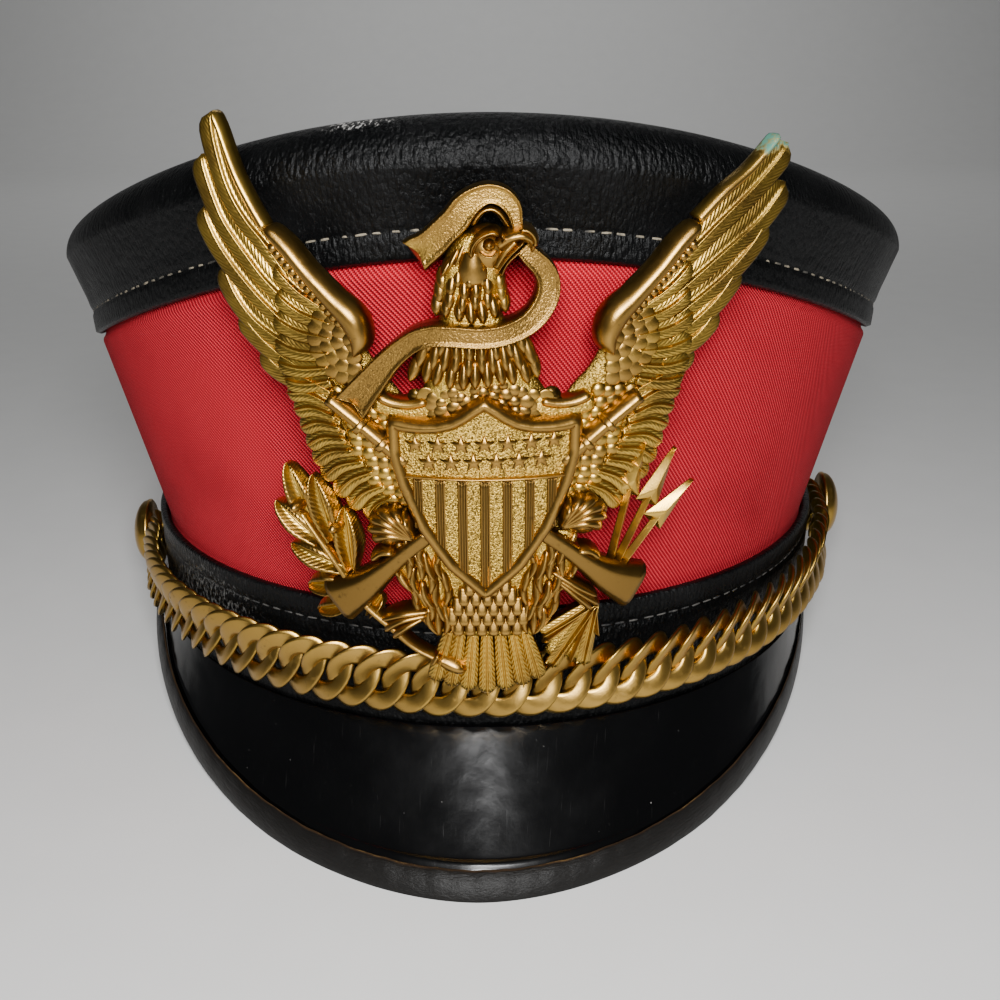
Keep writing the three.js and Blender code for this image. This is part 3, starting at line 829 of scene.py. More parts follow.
@dataclass
class Repeater:
    """Sets copies of one shape along a row of places with Geometry Nodes."""

    name: str
    turn_jitter: Triple = (0.0, 0.0, 0.0)
    size_jitter: float = 0.0
    seed: int = 7

    def _tree(self) -> tuple[NodeTree, dict[str, str]]:
        """Builds the tree and returns it with the identifiers of its named inputs."""
        tree = bpy.data.node_groups.new(self.name + "_row", "GeometryNodeTree")
        kinds = {
            "Places": "Geometry",
            "Shape": "Object",
            "Turn Jitter": "Vector",
            "Size Jitter": "Float",
            "Seed": "Int",
            "Finish": "Material",
        }
        sockets = {
            label: tree.interface.new_socket(name=label, in_out="INPUT", socket_type="NodeSocket" + kind)
            for label, kind in kinds.items()
        }
        tree.interface.new_socket(name="Row", in_out="OUTPUT", socket_type="NodeSocketGeometry")

        def add(kind: str, settings: Settings, sockets: Sockets) -> Node:
            """Adds a node to this tree."""
            return add_node(tree, kind, settings, sockets)

        given = tree.nodes.new("NodeGroupInput").outputs
        vector = {"data_type": "FLOAT_VECTOR"}
        along = add("GeometryNodeInputNamedAttribute", vector, {"Name": "along"}).outputs[0]
        out = add("GeometryNodeInputNamedAttribute", vector, {"Name": "out"}).outputs[0]
        axes = {"primary_axis": "X", "secondary_axis": "Z"}
        facing = add("FunctionNodeAxesToRotation", axes, {0: along, 1: out}).outputs[0]
        ends = {0: (-1.0, -1.0, -1.0), 1: (1.0, 1.0, 1.0), "Seed": given["Seed"]}
        chance = add("FunctionNodeRandomValue", vector, ends).outputs[0]
        both = {0: chance, 1: given["Turn Jitter"]}
        scaled = add("ShaderNodeVectorMath", {"operation": "MULTIPLY"}, both)
        euler = add("FunctionNodeEulerToRotation", {}, {0: scaled.outputs[0]}).outputs[0]
        local = {"rotation_space": "LOCAL"}
        turned = add("FunctionNodeRotateRotation", local, {0: facing, 1: euler}).outputs[0]
        spread = {0: chance, "Scale": given["Size Jitter"]}
        grown = add("ShaderNodeVectorMath", {"operation": "SCALE"}, spread)
        whole = {0: grown.outputs[0], 1: (1.0, 1.0, 1.0)}
        size = add("ShaderNodeVectorMath", {"operation": "ADD"}, whole).outputs[0]
        dots = add("GeometryNodeMeshToPoints", {}, {"Mesh": given["Places"]}).outputs[0]
        shape = add("GeometryNodeObjectInfo", {}, {"Object": given["Shape"]}).outputs["Geometry"]
        links = {"Points": dots, "Instance": shape, "Rotation": turned, "Scale": size}
        copies = add("GeometryNodeInstanceOnPoints", {}, links).outputs[0]
        real = add("GeometryNodeRealizeInstances", {}, {0: copies}).outputs[0]
        dressed = add("GeometryNodeSetMaterial", {}, {"Geometry": real, "Material": given["Finish"]})
        add("NodeGroupOutput", {}, {0: dressed.outputs[0]})
        return tree, {label: socket.identifier for label, socket in sockets.items()}

    def build(self, row: PathRow, shape: Object, stance: Stance, finish: Material) -> Object:
        """Makes the row as one plain mesh and removes the shape.

        Args:
            row: The places, in the level hat's millimetres.
            shape: The shape to repeat, in metres about the origin.
            stance: Where the hat stands.
            finish: The material of the copies.

        Returns:
            The object.
        """
        places = bpy.data.meshes.new(self.name + "_places")
        places.from_pydata(stance.place(row.points).tolist(), [], [])
        for label, directions in (("along", row.along), ("out", row.out)):
            attribute = places.attributes.new(label, "FLOAT_VECTOR", "POINT")
            attribute.data.foreach_set("vector", stance.turn(directions).astype(np.float32).ravel())
        carrier = add_object(self.name + "_places", places)
        tree, names = self._tree()
        modifier = carrier.modifiers.new("row", "NODES")
        modifier.node_group = tree
        values = {
            "Shape": shape,
            "Turn Jitter": self.turn_jitter,
            "Size Jitter": self.size_jitter,
            "Seed": self.seed,
            "Finish": finish,
        }
        for label, value in values.items():
            modifier[names[label]] = value
        graph = bpy.context.evaluated_depsgraph_get()
        mesh = bpy.data.meshes.new_from_object(carrier.evaluated_get(graph))
        mesh.name = self.name
        carrier.modifiers.clear()
        bpy.data.objects.remove(carrier)
        bpy.data.objects.remove(shape)
        return add_object(self.name, mesh)


@dataclass
class Seam:
    """A row of sewn stitches round the oval at one level."""

    name: str
    radius: float
    level: float
    pitch: float = 3.1
    stitch: Triple = (2.5, 0.62, 0.42)
    sides: int = 6
    sink: float = 0.1
    samples: int = 1440
    turn_jitter: Triple = (0.0, 0.05, 0.09)
    size_jitter: float = 0.12
    seed: int = 11

    def row(self, oval: Oval) -> PathRow:
        """Returns the stitches' places, evenly spaced round the oval."""
        angle = np.linspace(-math.pi, math.pi, self.samples, endpoint=False)
        line = oval.point(self.radius - self.sink, angle, self.level)
        higher = oval.point(self.radius - self.sink, angle, self.level + 1.0)
        travelled = travel(line, True)
        count = round(travelled[-1] / self.pitch)
        wanted = (np.arange(count) + 0.5) * travelled[-1] / count
        chosen = np.searchsorted(travelled, wanted) % self.samples
        along = unit(np.roll(line, -1, axis=0) - np.roll(line, 1, axis=0))
        out = unit(np.cross(along, higher - line))
        return PathRow(line[chosen], along[chosen], out[chosen])

    def build(self, oval: Oval, stance: Stance, finish: Material) -> Object:
        """Returns the row of stitches as one piece."""
        length, width, height = self.stitch
        turn = full_turn(self.sides)
        along = np.array([-0.5, -0.38, 0.0, 0.38, 0.5])
        full = np.array([0.15, 0.8, 1.0, 0.8, 0.15])
        grid = np.stack(
            np.broadcast_arrays(
                (along * length)[:, None],
                np.cos(turn)[None] * full[:, None] * width / 2,
                np.sin(turn)[None] * full[:, None] * height / 2,
            ),
            -1,
        )
        shape = Patchwork().add(grid).to_object(self.name + "_stitch", None, finish)
        repeater = Repeater(self.name, self.turn_jitter, self.size_jitter, self.seed)
        return repeater.build(self.row(oval), shape, stance, finish)


@dataclass
class Crown:
    """The cloth crown: its flared twill wall and the panel on top."""

    oval: Oval
    stance: Stance
    wall: float = 2.0
    columns: int = 384
    outside: Rows = ((101.0, 0.9), (102.0, 26.0), (113.4, 64.6), (112.5, 65.8), (112.9, 84.0))
    wall_round: float = 0.8
    wall_step: float = 1.6
    map_level: float = 50.0
    panel_rim: float = 108.7
    panel_top: float = 91.0
    panel_thickness: float = 1.8
    panel_round: Place = (0.8, 0.5)
    panel_middle: float = 0.4
    panel_rings: int = 40
    panel_sag: float = 0.5

    def build_wall(self, finish: Material) -> Object:
        """Returns the twill wall."""
        outer = np.asarray(self.outside)
        inner = outer[::-1] - np.array([self.wall, 0.0])
        profile = rounded_loop(np.concatenate([outer, inner]), self.wall_round, self.wall_step)
        grid = self.oval.revolve(profile, self.columns)
        level = int(np.argmin(np.abs(profile[:, 1] - self.map_level) - profile[:, 0]))
        patch = Patchwork().add(grid, lathe_uv(grid, level), ring=True)
        return settle(patch.to_object("crown_cloth", self.stance, finish), Slot.TWILL, "crown_wall")

    def build_panel(self, finish: Material) -> Object:
        """Returns the top panel, which sags a little inside its rolled edge."""
        inset, drop = self.panel_round
        radii = np.linspace(self.panel_middle, self.panel_rim - inset, self.panel_rings)
        sag = self.panel_sag * (1.0 - (radii / self.panel_rim) ** 2)
        low = self.panel_top - self.panel_thickness
        rim = [(self.panel_rim, self.panel_top - drop), (self.panel_rim, low + drop)]
        upper = np.stack([radii, self.panel_top - sag], -1)
        lower = np.stack([radii[::-1], low - sag[::-1]], -1)
        profile = np.concatenate([upper, rim, lower])
        grid = self.oval.revolve(profile, self.columns // 2, self.panel_rim)
        patch = Patchwork().add(grid, wrapped_uv(grid[..., 0], grid[..., 1]))
        return settle(patch.to_object("crown_panel", self.stance, finish), Slot.LEATHER, "crown_top")


@dataclass
class Bands:
    """The two leather bands with their seams."""

    oval: Oval
    stance: Stance
    leather: float = 1.9
    columns: int = 384
    lower_outside: Rows = ((103.2, 0.0), (104.2, 26.0))
    lower_seam: float = 21.0
    top_flare: Rows = ((114.7, 66.2), (115.5, 72.6), (117.3, 78.0), (119.2, 83.4))
    roll: float = 8.0
    flange: float = 109.0
    top_seam: float = 70.9
    dent: Place = (0.4, 0.75)
    lower_round: float = 1.0
    lower_step: float = 0.7
    hem_drop: float = 0.35
    rise_rows: int = 29
    roll_rows: int = 16
    ledge_rows: int = 5
    map_row: int = 20

    def _dented(self, profile: Array, outer: Array, seam: float) -> Array:
        """Presses a groove for a seam into the outer side of a profile."""
        depth, width = self.dent
        pressed = profile.copy()
        pressed[:, 0] -= outer * depth * hump(profile[:, 1], seam, width)
        return pressed

    def build_lower(self, finish: Material) -> Object:
        """Returns the band round the head opening, pressed flat where its back rests."""
        outer = np.asarray(self.lower_outside)
        inner = outer[::-1] - np.array([self.leather, 0.0])
        profile = rounded_loop(np.concatenate([outer, inner]), self.lower_round, self.lower_step)
        middle = np.interp(profile[:, 1], outer[:, 1], outer[:, 0]) - self.leather / 2
        profile = self._dented(profile, (profile[:, 0] > middle).astype(float), self.lower_seam)
        grid = self.oval.revolve(profile, self.columns)
        grid[..., 2] = np.maximum(grid[..., 2], self.stance.floor_height(grid[..., 1]))
        patch = Patchwork().add(grid, lathe_uv(grid, 0), ring=True)
        piece = patch.to_object("lower_band_leather", self.stance, finish)
        return settle(piece, Slot.LEATHER, "lower_band")

    def _top_side(self, inset: float) -> Array:
        """Returns one side of the top band's profile, from its lower edge over the roll to the flange."""
        turn = np.linspace(0.0, math.pi / 2, self.roll_rows)
        widest, level = self.top_flare[-1]
        middle = widest - self.roll
        radius = self.roll - inset
        over = np.stack([middle + radius * np.cos(turn), level + radius * np.sin(turn)], -1)
        rise = smooth_rows(np.array(self.top_flare) - np.array([inset, 0.0]), self.rise_rows + 1)[:-1]
        flat = np.linspace(middle, self.flange, self.ledge_rows + 1)[1:]
        ledge = np.stack([flat, np.full(self.ledge_rows, level + radius)], -1)
        return np.concatenate([rise, over, ledge])

    def build_top(self, finish: Material) -> Object:
        """Returns the band round the top, with its rolled upper edge."""
        side = self._top_side(0.0)
        outside = self._dented(side, np.ones(len(side)), self.top_seam)
        inside = self._top_side(self.leather)[::-1]
        low, level = self.top_flare[0]
        hem = np.array([[low - 0.5 * self.leather, level - self.hem_drop]])
        profile = np.concatenate([outside, inside, hem])
        grid = self.oval.revolve(profile, self.columns)
        patch = Patchwork().add(grid, lathe_uv(grid, self.map_row), ring=True)
        return settle(patch.to_object("top_band_leather", self.stance, finish), Slot.LEATHER, "top_band")

    def build_seams(self, finish: Material, dark: Material) -> None:
        """Makes both rows of stitches."""
        outer = np.asarray(self.lower_outside)
        lower = float(np.interp(self.lower_seam, outer[:, 1], outer[:, 0])) - self.dent[0]
        rise = self._top_side(0.0)[: self.rise_rows + 1]
        top = float(np.interp(self.top_seam, rise[:, 1], rise[:, 0])) - self.dent[0]
        seams = [
            (Seam("lower_stitches", lower, self.lower_seam), dark),
            (Seam("top_stitches", top, self.top_seam), finish),
        ]
        for seam, thread in seams:
            settle(seam.build(self.oval, self.stance, thread), Slot.LEATHER)


@dataclass
class Visor:
    """The patent visor and the rolled binding on its edge."""

    oval: Oval
    stance: Stance
    inner_radius: float = 103.8
    inner_level: float = 2.2
    thickness: float = 2.4
    hollow: float = 0.9
    end_angle: float = math.radians(76.0)
    middle_x: float = -1.5
    middle_y: float = 11.7
    half_width: float = 86.9
    half_length: float = 140.4
    taper: float = 1.089
    end_turn: float = math.radians(74.8)
    drop_end: float = -24.0
    drop_curve: float = 1.25
    slope: float = math.radians(41.0)
    binding_width: float = 5.2
    binding_height: float = 4.2
    bead: Triple = (1.6, 0.35, 0.5)
    bead_fade: Place = (8.0, 20.0)
    across: int = 200
    along: int = 48
    map_half: float = 120.0
    roll_across: int = 260
    roll_around: int = 28
    roll_map: Place = (150.0, 2.4)
    ripples: Rows = ((0.10, 61.0, 0.0), (0.08, 143.0, 1.0))
    crest_turn: float = math.radians(132.0)

    def inner(self, share: Array) -> Array:
        """Returns the visor's line along the band."""
        return self.oval.point(self.inner_radius, share * self.end_angle, self.inner_level)

    def edge(self, share: Array) -> Array:
        """Returns the visor's outer edge, lowest at the tip."""
        front_y, front_z = self.stance.floor_front
        turn = share * self.end_turn
        x = self.middle_x + self.half_width * np.sign(share) * np.abs(np.sin(turn)) ** self.taper
        y = self.middle_y - self.half_length * np.cos(turn)
        back = np.maximum(0.0, (y - front_y) / (self.drop_end - front_y))
        return np.stack([x, y, front_z * (1.0 - back**self.drop_curve)], -1)

    def _span(self, share: Array) -> Array:
        """Returns the visor's width from the band to its edge."""
        return np.linalg.norm(self.edge(share) - self.inner(share), axis=-1)

    def _bound(self, share: Array) -> Array:
        """Returns the binding's width."""
        return np.minimum(self.binding_width, self._span(share) * 0.5)

    def build(self, finish: Material) -> Object:
        """Returns the patent leather peak, with a raised line just inside the binding."""
        share = np.linspace(-1.0, 1.0, self.across)[:, None]
        span = self._span(share)
        reach = 1.0 - (self._bound(share) + GAP) / span
        steps = np.linspace(0.0, 1.0, self.along)
        steps = np.concatenate([steps, steps[::-1]])[None, :]
        depth = np.where(np.arange(2 * self.along) < self.along, 0.0, self.thickness)[None, :]
        along = steps * reach
        inner = self.inner(share)
        face = inner + (self.edge(share) - inner) * along[..., None]
        dip = self.hollow * np.sin(math.pi * along) * np.cos(share * self.end_angle)
        slant = smooth_step(0.0, 0.5, along) * math.sin(self.slope)
        turn = share * self.end_angle
        outward = np.stack([np.sin(turn), -np.cos(turn), 0.0 * share], -1)
        grid = face - outward * (depth * slant)[..., None]
        inside, rise, width = self.bead
        from_edge = (reach - along) * span
        fade = smooth_step(*self.bead_fade, span)
        bead = fade * rise * hump(from_edge, inside, width) * (depth == 0.0)
        grid[..., 2] += bead - dip - depth / math.cos(self.slope) / (1.0 + slant)
        patch = Patchwork().add(grid, wrapped_uv(share * self.map_half, along * span))
        return settle(patch.to_object("visor_patent", self.stance, finish), Slot.PATENT, "visor")

    def build_binding(self, finish: Material) -> Object:
        """Returns the rolled binding, pressed flat where it rests on the floor."""
        share = np.linspace(-1.0, 1.0, self.roll_across)[:, None]
        turn = full_turn(self.roll_around)[None, :]
        edge = self.edge(share)
        inward = unit(self.inner(share) - edge)
        half = self._bound(share) / 2
        grid = edge + inward * (half * (1.0 - np.cos(turn)))[..., None]
        ripple = sum(size * np.sin(share * rate + start) for size, rate, start in self.ripples)
        end = np.sqrt(np.clip(1.0 - np.abs(share) ** 60, 0.05, 1.0))
        grid[..., 2] += (self.binding_height / 2 + ripple) * np.sin(turn) * end
        grid[..., 2] = np.maximum(grid[..., 2], self.stance.floor_height(grid[..., 1]))
        crest = np.clip(np.cos(turn - self.crest_turn), 0.0, 1.0) ** 8 + 0.0 * share
        uv = wrapped_uv(share * self.roll_map[0], turn * self.roll_map[1])
        patch = Patchwork().add(grid, uv, {"crest": crest})
        piece = patch.to_object("visor_roll", self.stance, finish)
        return settle(piece, Slot.BINDING, "visor_binding")


@dataclass
class Chain:
    """The brass curb chain across the front and the buttons at its ends."""

    oval: Oval
    stance: Stance
    radius: float = 107.2
    front_level: float = 12.2
    side_rise: float = 2.2
    right_lift: float = 3.0
    end_angle: float = math.radians(86.0)
    links: int = 50
    link_length: float = 11.4
    link_height: float = 13.2
    strip: Place = (3.3, 4.3)
    thickness: float = 1.4
    lean: float = 0.3
    saddle: float = 0.084
    flatness: Place = (0.7, 0.8)
    link_round: int = 44
    link_sides: int = 12
    turn_jitter: Triple = (0.03, 0.03, 0.04)
    seed: int = 5
    samples: int = 1440
    button_radius: float = 8.5
    button_rim: float = 1.2
    button_dome: float = 3.6
    button_stand: float = 3.4
    button_round: int = 48
    button_middle: float = 0.05
    stem: float = 0.8
    stem_shift: float = 0.9
    band_radius: float = 103.2

    def row(self) -> PathRow:
        """Returns the links' places along the band."""
        angle = np.linspace(-self.end_angle, self.end_angle, self.samples + 1)
        aside = np.sin(angle)
        level = self.front_level + (self.side_rise + self.right_lift * aside) * aside**2
        line = self.oval.point(self.radius, angle, level)
        travelled = travel(line)
        wanted = (np.arange(self.links) + 0.5) * travelled[-1] / self.links
        points = np.stack([np.interp(wanted, travelled, line[:, axis]) for axis in range(3)], -1)
        along = np.gradient(line, travelled, axis=0)
        along = unit(np.stack([np.interp(wanted, travelled, along[:, axis]) for axis in range(3)], -1))
        out = unit(np.cross(along, np.array([0.0, 0.0, 1.0])))
        return PathRow(points, along, out)

    def _link(self, finish: Material) -> Object:
        """Returns one flat oval link, leaned along the chain and bent to a saddle."""
        angle = full_turn(self.link_round)[:, None]
        turn = full_turn(self.link_sides)[None, :]
        flat_across, flat_out = self.flatness
        flat = np.sign(np.cos(turn)) * np.abs(np.cos(turn)) ** flat_across
        narrow, wide = self.strip
        strip = narrow + (wide - narrow) * np.sin(angle) ** 2
        across = flat * strip / 2
        depth = np.sign(np.sin(turn)) * np.abs(np.sin(turn)) ** flat_out * self.thickness / 2
        run = ((self.link_length - strip) / 2 + across) * np.cos(angle)
        rise = ((self.link_height - strip) / 2 + across) * np.sin(angle)
        bent = depth - self.saddle * run * rise
        grid = np.stack(np.broadcast_arrays(run + self.lean * rise, rise, bent), -1)
        marks = {
            "height": 0.35 + 0.35 * np.sin(turn) + 0.0 * angle,
            # Painted shade along both flat edges of the link's strip.
            "crease": np.abs(flat) ** 8 + 0.0 * angle,
        }
        return Patchwork().add(grid, None, marks, ring=True).to_object("chain_link", None, finish)

    def build(self, finish: Material) -> Object:
        """Returns the chain of interlocking links."""
        repeater = Repeater("curb_chain", self.turn_jitter, seed=self.seed)
        links = repeater.build(self.row(), self._link(finish), self.stance, finish)
        return settle(links, Slot.CHAIN, "chin_chain")

    def build_buttons(self, finish: Material) -> None:
        """Makes the domed button at each end of the chain."""
        row = self.row()
        foot = self.band_radius + 2 * GAP - self.radius
        base = self.button_stand - self.button_rim
        turn = np.linspace(0.0, math.pi / 2, 12)[:-1]
        swell = self.button_stand + self.button_dome * np.sin(turn)
        dome = np.stack([self.button_radius * np.cos(turn) * 0.97, swell], -1)
        middle = self.button_middle
        stem = [(middle, foot), (self.stem, foot), (self.stem, base), (self.button_radius * 0.93, base)]
        rim = [(self.button_radius, base + 0.4), (self.button_radius, self.button_stand - 0.3)]
        profile = np.concatenate([stem, rim, dome, [(middle, self.button_stand + self.button_dome)]])
        angle = full_turn(self.button_round)[None, :]
        for index, shift, name in ((0, -1.0, "side_button_left"), (-1, 1.0, "side_button_right")):
            along, out = row.along[index], row.out[index]
            up = np.cross(out, along)
            run = profile[:, :1] * np.cos(angle) + shift * self.stem_shift
            rise = profile[:, :1] * np.sin(angle)
            height = profile[:, 1:] + 0.0 * angle
            offset = run[..., None] * along + rise[..., None] * up + height[..., None] * out
            patch = Patchwork().add(row.points[index] + offset, None, {"height": 0.6})
            piece = patch.to_object(name.replace("side_button", "domed_button"), self.stance, finish)
            settle(piece, Slot.CHAIN, name)


class Section(Enum):
    """The shapes across a raised strip of the eagle plate."""

    ROUND = "round"
    FEATHER = "feather"
    BAND = "band"
    RIMMED = "rimmed"
    LEAF = "leaf"
    TENT = "tent"

    def heights(self, across: Array) -> Array:
        """Returns the share of the full height at each place across, from -1 to 1."""
        away = np.abs(across)
        if self is Section.ROUND:
            return 0.12 + 0.88 * np.sqrt(np.clip(1.0 - away**2, 0.0, 1.0))
        if self is Section.FEATHER:
            rim = 0.06 * hump(away, 0.88, 0.07)
            groove = 0.08 * hump(away, 0.22, 0.10)
            return 0.44 + 0.28 * (1.0 - away**2.6) + 0.30 * hump(away, 0.0, 0.09) + rim - groove
        if self is Section.BAND:
            return 0.45 + 0.55 * (1.0 - away**5)
        if self is Section.RIMMED:
            return 0.40 + 0.36 * (1.0 - away**10) + 0.24 * hump(away, 0.82, 0.10)
        if self is Section.LEAF:
            swell = hump(away, 0.60, 0.28)
            return 0.30 + 0.68 * swell * (1.0 - away**12) + 0.22 * hump(away, 0.0, 0.07)
        return 0.15 + 0.85 * (1.0 - away)


def between(start: Place, end: Place, share: float, rise: float = 0.0) -> Place:
    """Returns a place between two, lifted by rise."""
    return start[0] + (end[0] - start[0]) * share, start[1] + (end[1] - start[1]) * share + rise


def mirrored(rows: Rows, side: int) -> list[tuple[float, ...]]:
    """Returns rows of the right side turned to a side, 1 for right and -1 for left."""
    return [(side * u, *rest) for u, *rest in rows]


@dataclass
class Relief:
    """A stamped brass sheet: worked flat as u across, v up and h out, then bent round the crown."""

    plate_y: float = -113.5
    plate_z: float = 42.0
    lean: float = math.radians(7.0)
    bend: float = 95.0
    full_height: float = 6.0
    patch: Patchwork = field(default_factory=Patchwork)

    def point(self, u: Array, v: Array, h: Array) -> Array:
        """Returns points of the plate on the level hat, in millimetres."""
        u, v, h = np.broadcast_arrays(u, v, h)
        turn = u / self.bend
        out = (self.bend + h) * np.cos(turn) - self.bend
        y = self.plate_y - v * math.sin(self.lean) - out * math.cos(self.lean)
        z = self.plate_z + v * math.cos(self.lean) - out * math.sin(self.lean)
        return np.stack([(self.bend + h) * np.sin(turn), y, z], -1)

    @staticmethod
    def _rounding(share: Array, tip: float, root: float) -> Array:
        """Returns how much of its width a strip keeps along its length, with round ends."""
        taper = np.ones(len(share))
        for length, from_end in ((tip, 1.0 - share), (root, share)):
            if length > 0.0:
                inside = np.clip(1.0 - from_end / length, 0.0, 1.0)
                taper *= np.sqrt(np.clip(1.0 - inside**2, 0.004, 1.0))
        return taper

    def strip(
        self,
        stations: Rows,
        section: Section,
        base: float = 0.8,
        count: int = 24,
        tilt: float = 0.0,
        tip: float = 0.0,
        root: float = 0.0,
        fork: float = 0.0,
        marks: Optional[Marks] = None,
        ring: bool = False,
    ) -> None:
        """Adds a raised strip along a line.

        Args:
            stations: Rows of u, v, full width and crest height.
            section: The shape across.
            base: The height of its flat back.
            count: How many sections to make.
            tilt: How much higher its right edge stands than its middle.
            tip: The share of the length at the far end that is rounded off.
            root: The share at the near end that is rounded off.
            fork: How deep the near end is notched to two points.
            marks: Numbers for the finish.
            ring: True where the line is closed.
        """
        rows = smooth_rows(stations, count + 1)[:-1] if ring else smooth_rows(stations, count)
        u, v, width, crest = rows.T
        if ring:
            heading = np.stack([np.roll(u, -1) - np.roll(u, 1), np.roll(v, -1) - np.roll(v, 1)], -1)
        else:
            heading = np.stack([np.gradient(u), np.gradient(v)], -1)
        heading = unit(heading)
        travelled = travel(rows[:, :2])
        share = np.linspace(0.0, 1.0, len(rows))
        taper = self._rounding(share, tip, root)[:, None]
        fine = np.array([0.0, 0.05, 0.11, 0.18, 0.3, 0.46, 0.62, 0.76, 0.86, 0.94, 1.0])
        across = np.concatenate([-fine[:0:-1], fine])
        loop = np.concatenate([[-1.0], across, [1.0]])[None, :]
        raised = np.concatenate([[0.0], section.heights(across), [0.0]])[None, :]
        height = base + (crest[:, None] - base) * raised * (0.55 + 0.45 * taper)
        height = height + tilt * loop * taper * (raised > 0.0)
        side = loop * width[:, None] * taper / 2
        notch = fork * np.abs(loop) * np.clip(1.0 - travelled / max(2.2 * fork, 0.1), 0.0, 1.0)[:, None]
        place_u = u[:, None] + heading[:, 1:] * side - heading[:, :1] * notch
        place_v = v[:, None] - heading[:, :1] * side - heading[:, 1:] * notch
        far = np.append(travelled, 2.0 * travelled[-1] - travelled[-2])
        wide = np.concatenate([side, side[:1] if ring else side[-1:]])
        wide = np.concatenate([wide, wide[:, :1]], 1)
        uv = np.stack(np.broadcast_arrays(far[:, None], wide), -1)
        named: Marks = {
            "height": np.clip(height / self.full_height, 0.0, 1.2),
            # Painted shade along both edges of the strip, where it meets what lies under it.
            "crease": smooth_step(0.74, 1.0, np.abs(loop)),
        }
        named.update(marks or {})
        self.patch.add(self.point(place_u, place_v, height), uv, named, ring)

    def ground(self, rows: Rows, base: float, count: int, stipple: float, tip: float = 0.0) -> None:
        """Adds a low stippled ground under other forms."""
        self.strip(rows, Section.BAND, base, count, tip=tip, marks={"stipple": stipple, "height": 0.1})

    def line(self, path: Rows, width: float, crest: float, base: float = 1.0, ends: float = 0.12) -> None:
        """Adds a plain rounded ridge of one width with round ends."""
        rows = [(*place, width, crest) for place in path]
        self.strip(rows, Section.ROUND, base, 6 + 5 * len(path), tip=ends, root=ends)

    def drop(
        self,
        start: Place,
        end: Place,
        width: float,
        top: float,
        base: float = 1.0,
        point: float = 0.9,
    ) -> None:
        """Adds a plain feather that rises from its root to its tip.

        Args:
            start: Its root as u and v.
            end: Its tip.
            width: Its full width.
            top: Its height at the tip.
            base: The height of its back.
            point: The width near its tip as a share of the full width.
        """
        rows = (
            (*start, width * 0.6, top - 1.1),
            (*between(start, end, 0.5), width, top - 0.3),
            (*end, width * point, top),
        )
        self.strip(rows, Section.ROUND, base, 11, tip=0.35, root=0.12)

    def dome(self, middle: Place, radius: float, top: float, base: float = 1.0) -> None:
        """Adds a rounded boss.

        Args:
            middle: Its place as u and v.
            radius: Its radius.
            top: Its height.
            base: The height of its back.
        """
        turn = full_turn(16)[None, :]
        rise = np.linspace(0.0, math.pi / 2, 7)[:, None]
        spread = np.cos(rise) + 0.01
        height = base + (top - base) * np.sin(rise) + 0.0 * turn
        u = middle[0] + radius * spread * np.cos(turn)
        v = middle[1] + radius * spread * np.sin(turn)
        marks = {
            "height": np.clip(height / self.full_height, 0.0, 1.2),
            # Painted shade round the foot of the boss.
            "crease": 1.0 - smooth_step(0.0, 0.5, np.sin(rise)),
        }
        self.patch.add(self.point(u, v, height), None, marks)

    def feather(
        self,
        path: Sequence[Place],
        width: float,
        heights: Place,
        tilt: float = 0.0,
        barb: float = 1.0,
        base: float = 0.4,
        slim: float = 0.66,
    ) -> None:
        """Adds one barbed feather with a round tip.

        Args:
            path: Its quill from root to tip.
            width: Its full width.
            heights: Its crest at the root and at the tip.
            tilt: How much it overlaps its neighbour.
            barb: How deep its barbs are.
            base: The height of its back.
            slim: The width of its root as a share of the full width.
        """
        quill = smooth_rows(path, 9)
        share = np.linspace(0.0, 1.0, len(quill))
        length = float(travel(quill)[-1])
        wide = width * np.interp(share, [0.0, 0.5, 1.0], [slim, 0.3 * slim + 0.7, 1.0])
        crest = heights[0] + (heights[1] - heights[0]) * share
        rows = np.column_stack([quill, wide, crest])
        tip = min(0.45, 0.55 * width / length)
        self.strip(rows, Section.FEATHER, base, 32, tilt, tip, marks={"barb": barb, "height": 0.36})


class Side(Enum):
    """The two wings, which aren't quite mirrored."""

    LEFT = -1
    RIGHT = 1


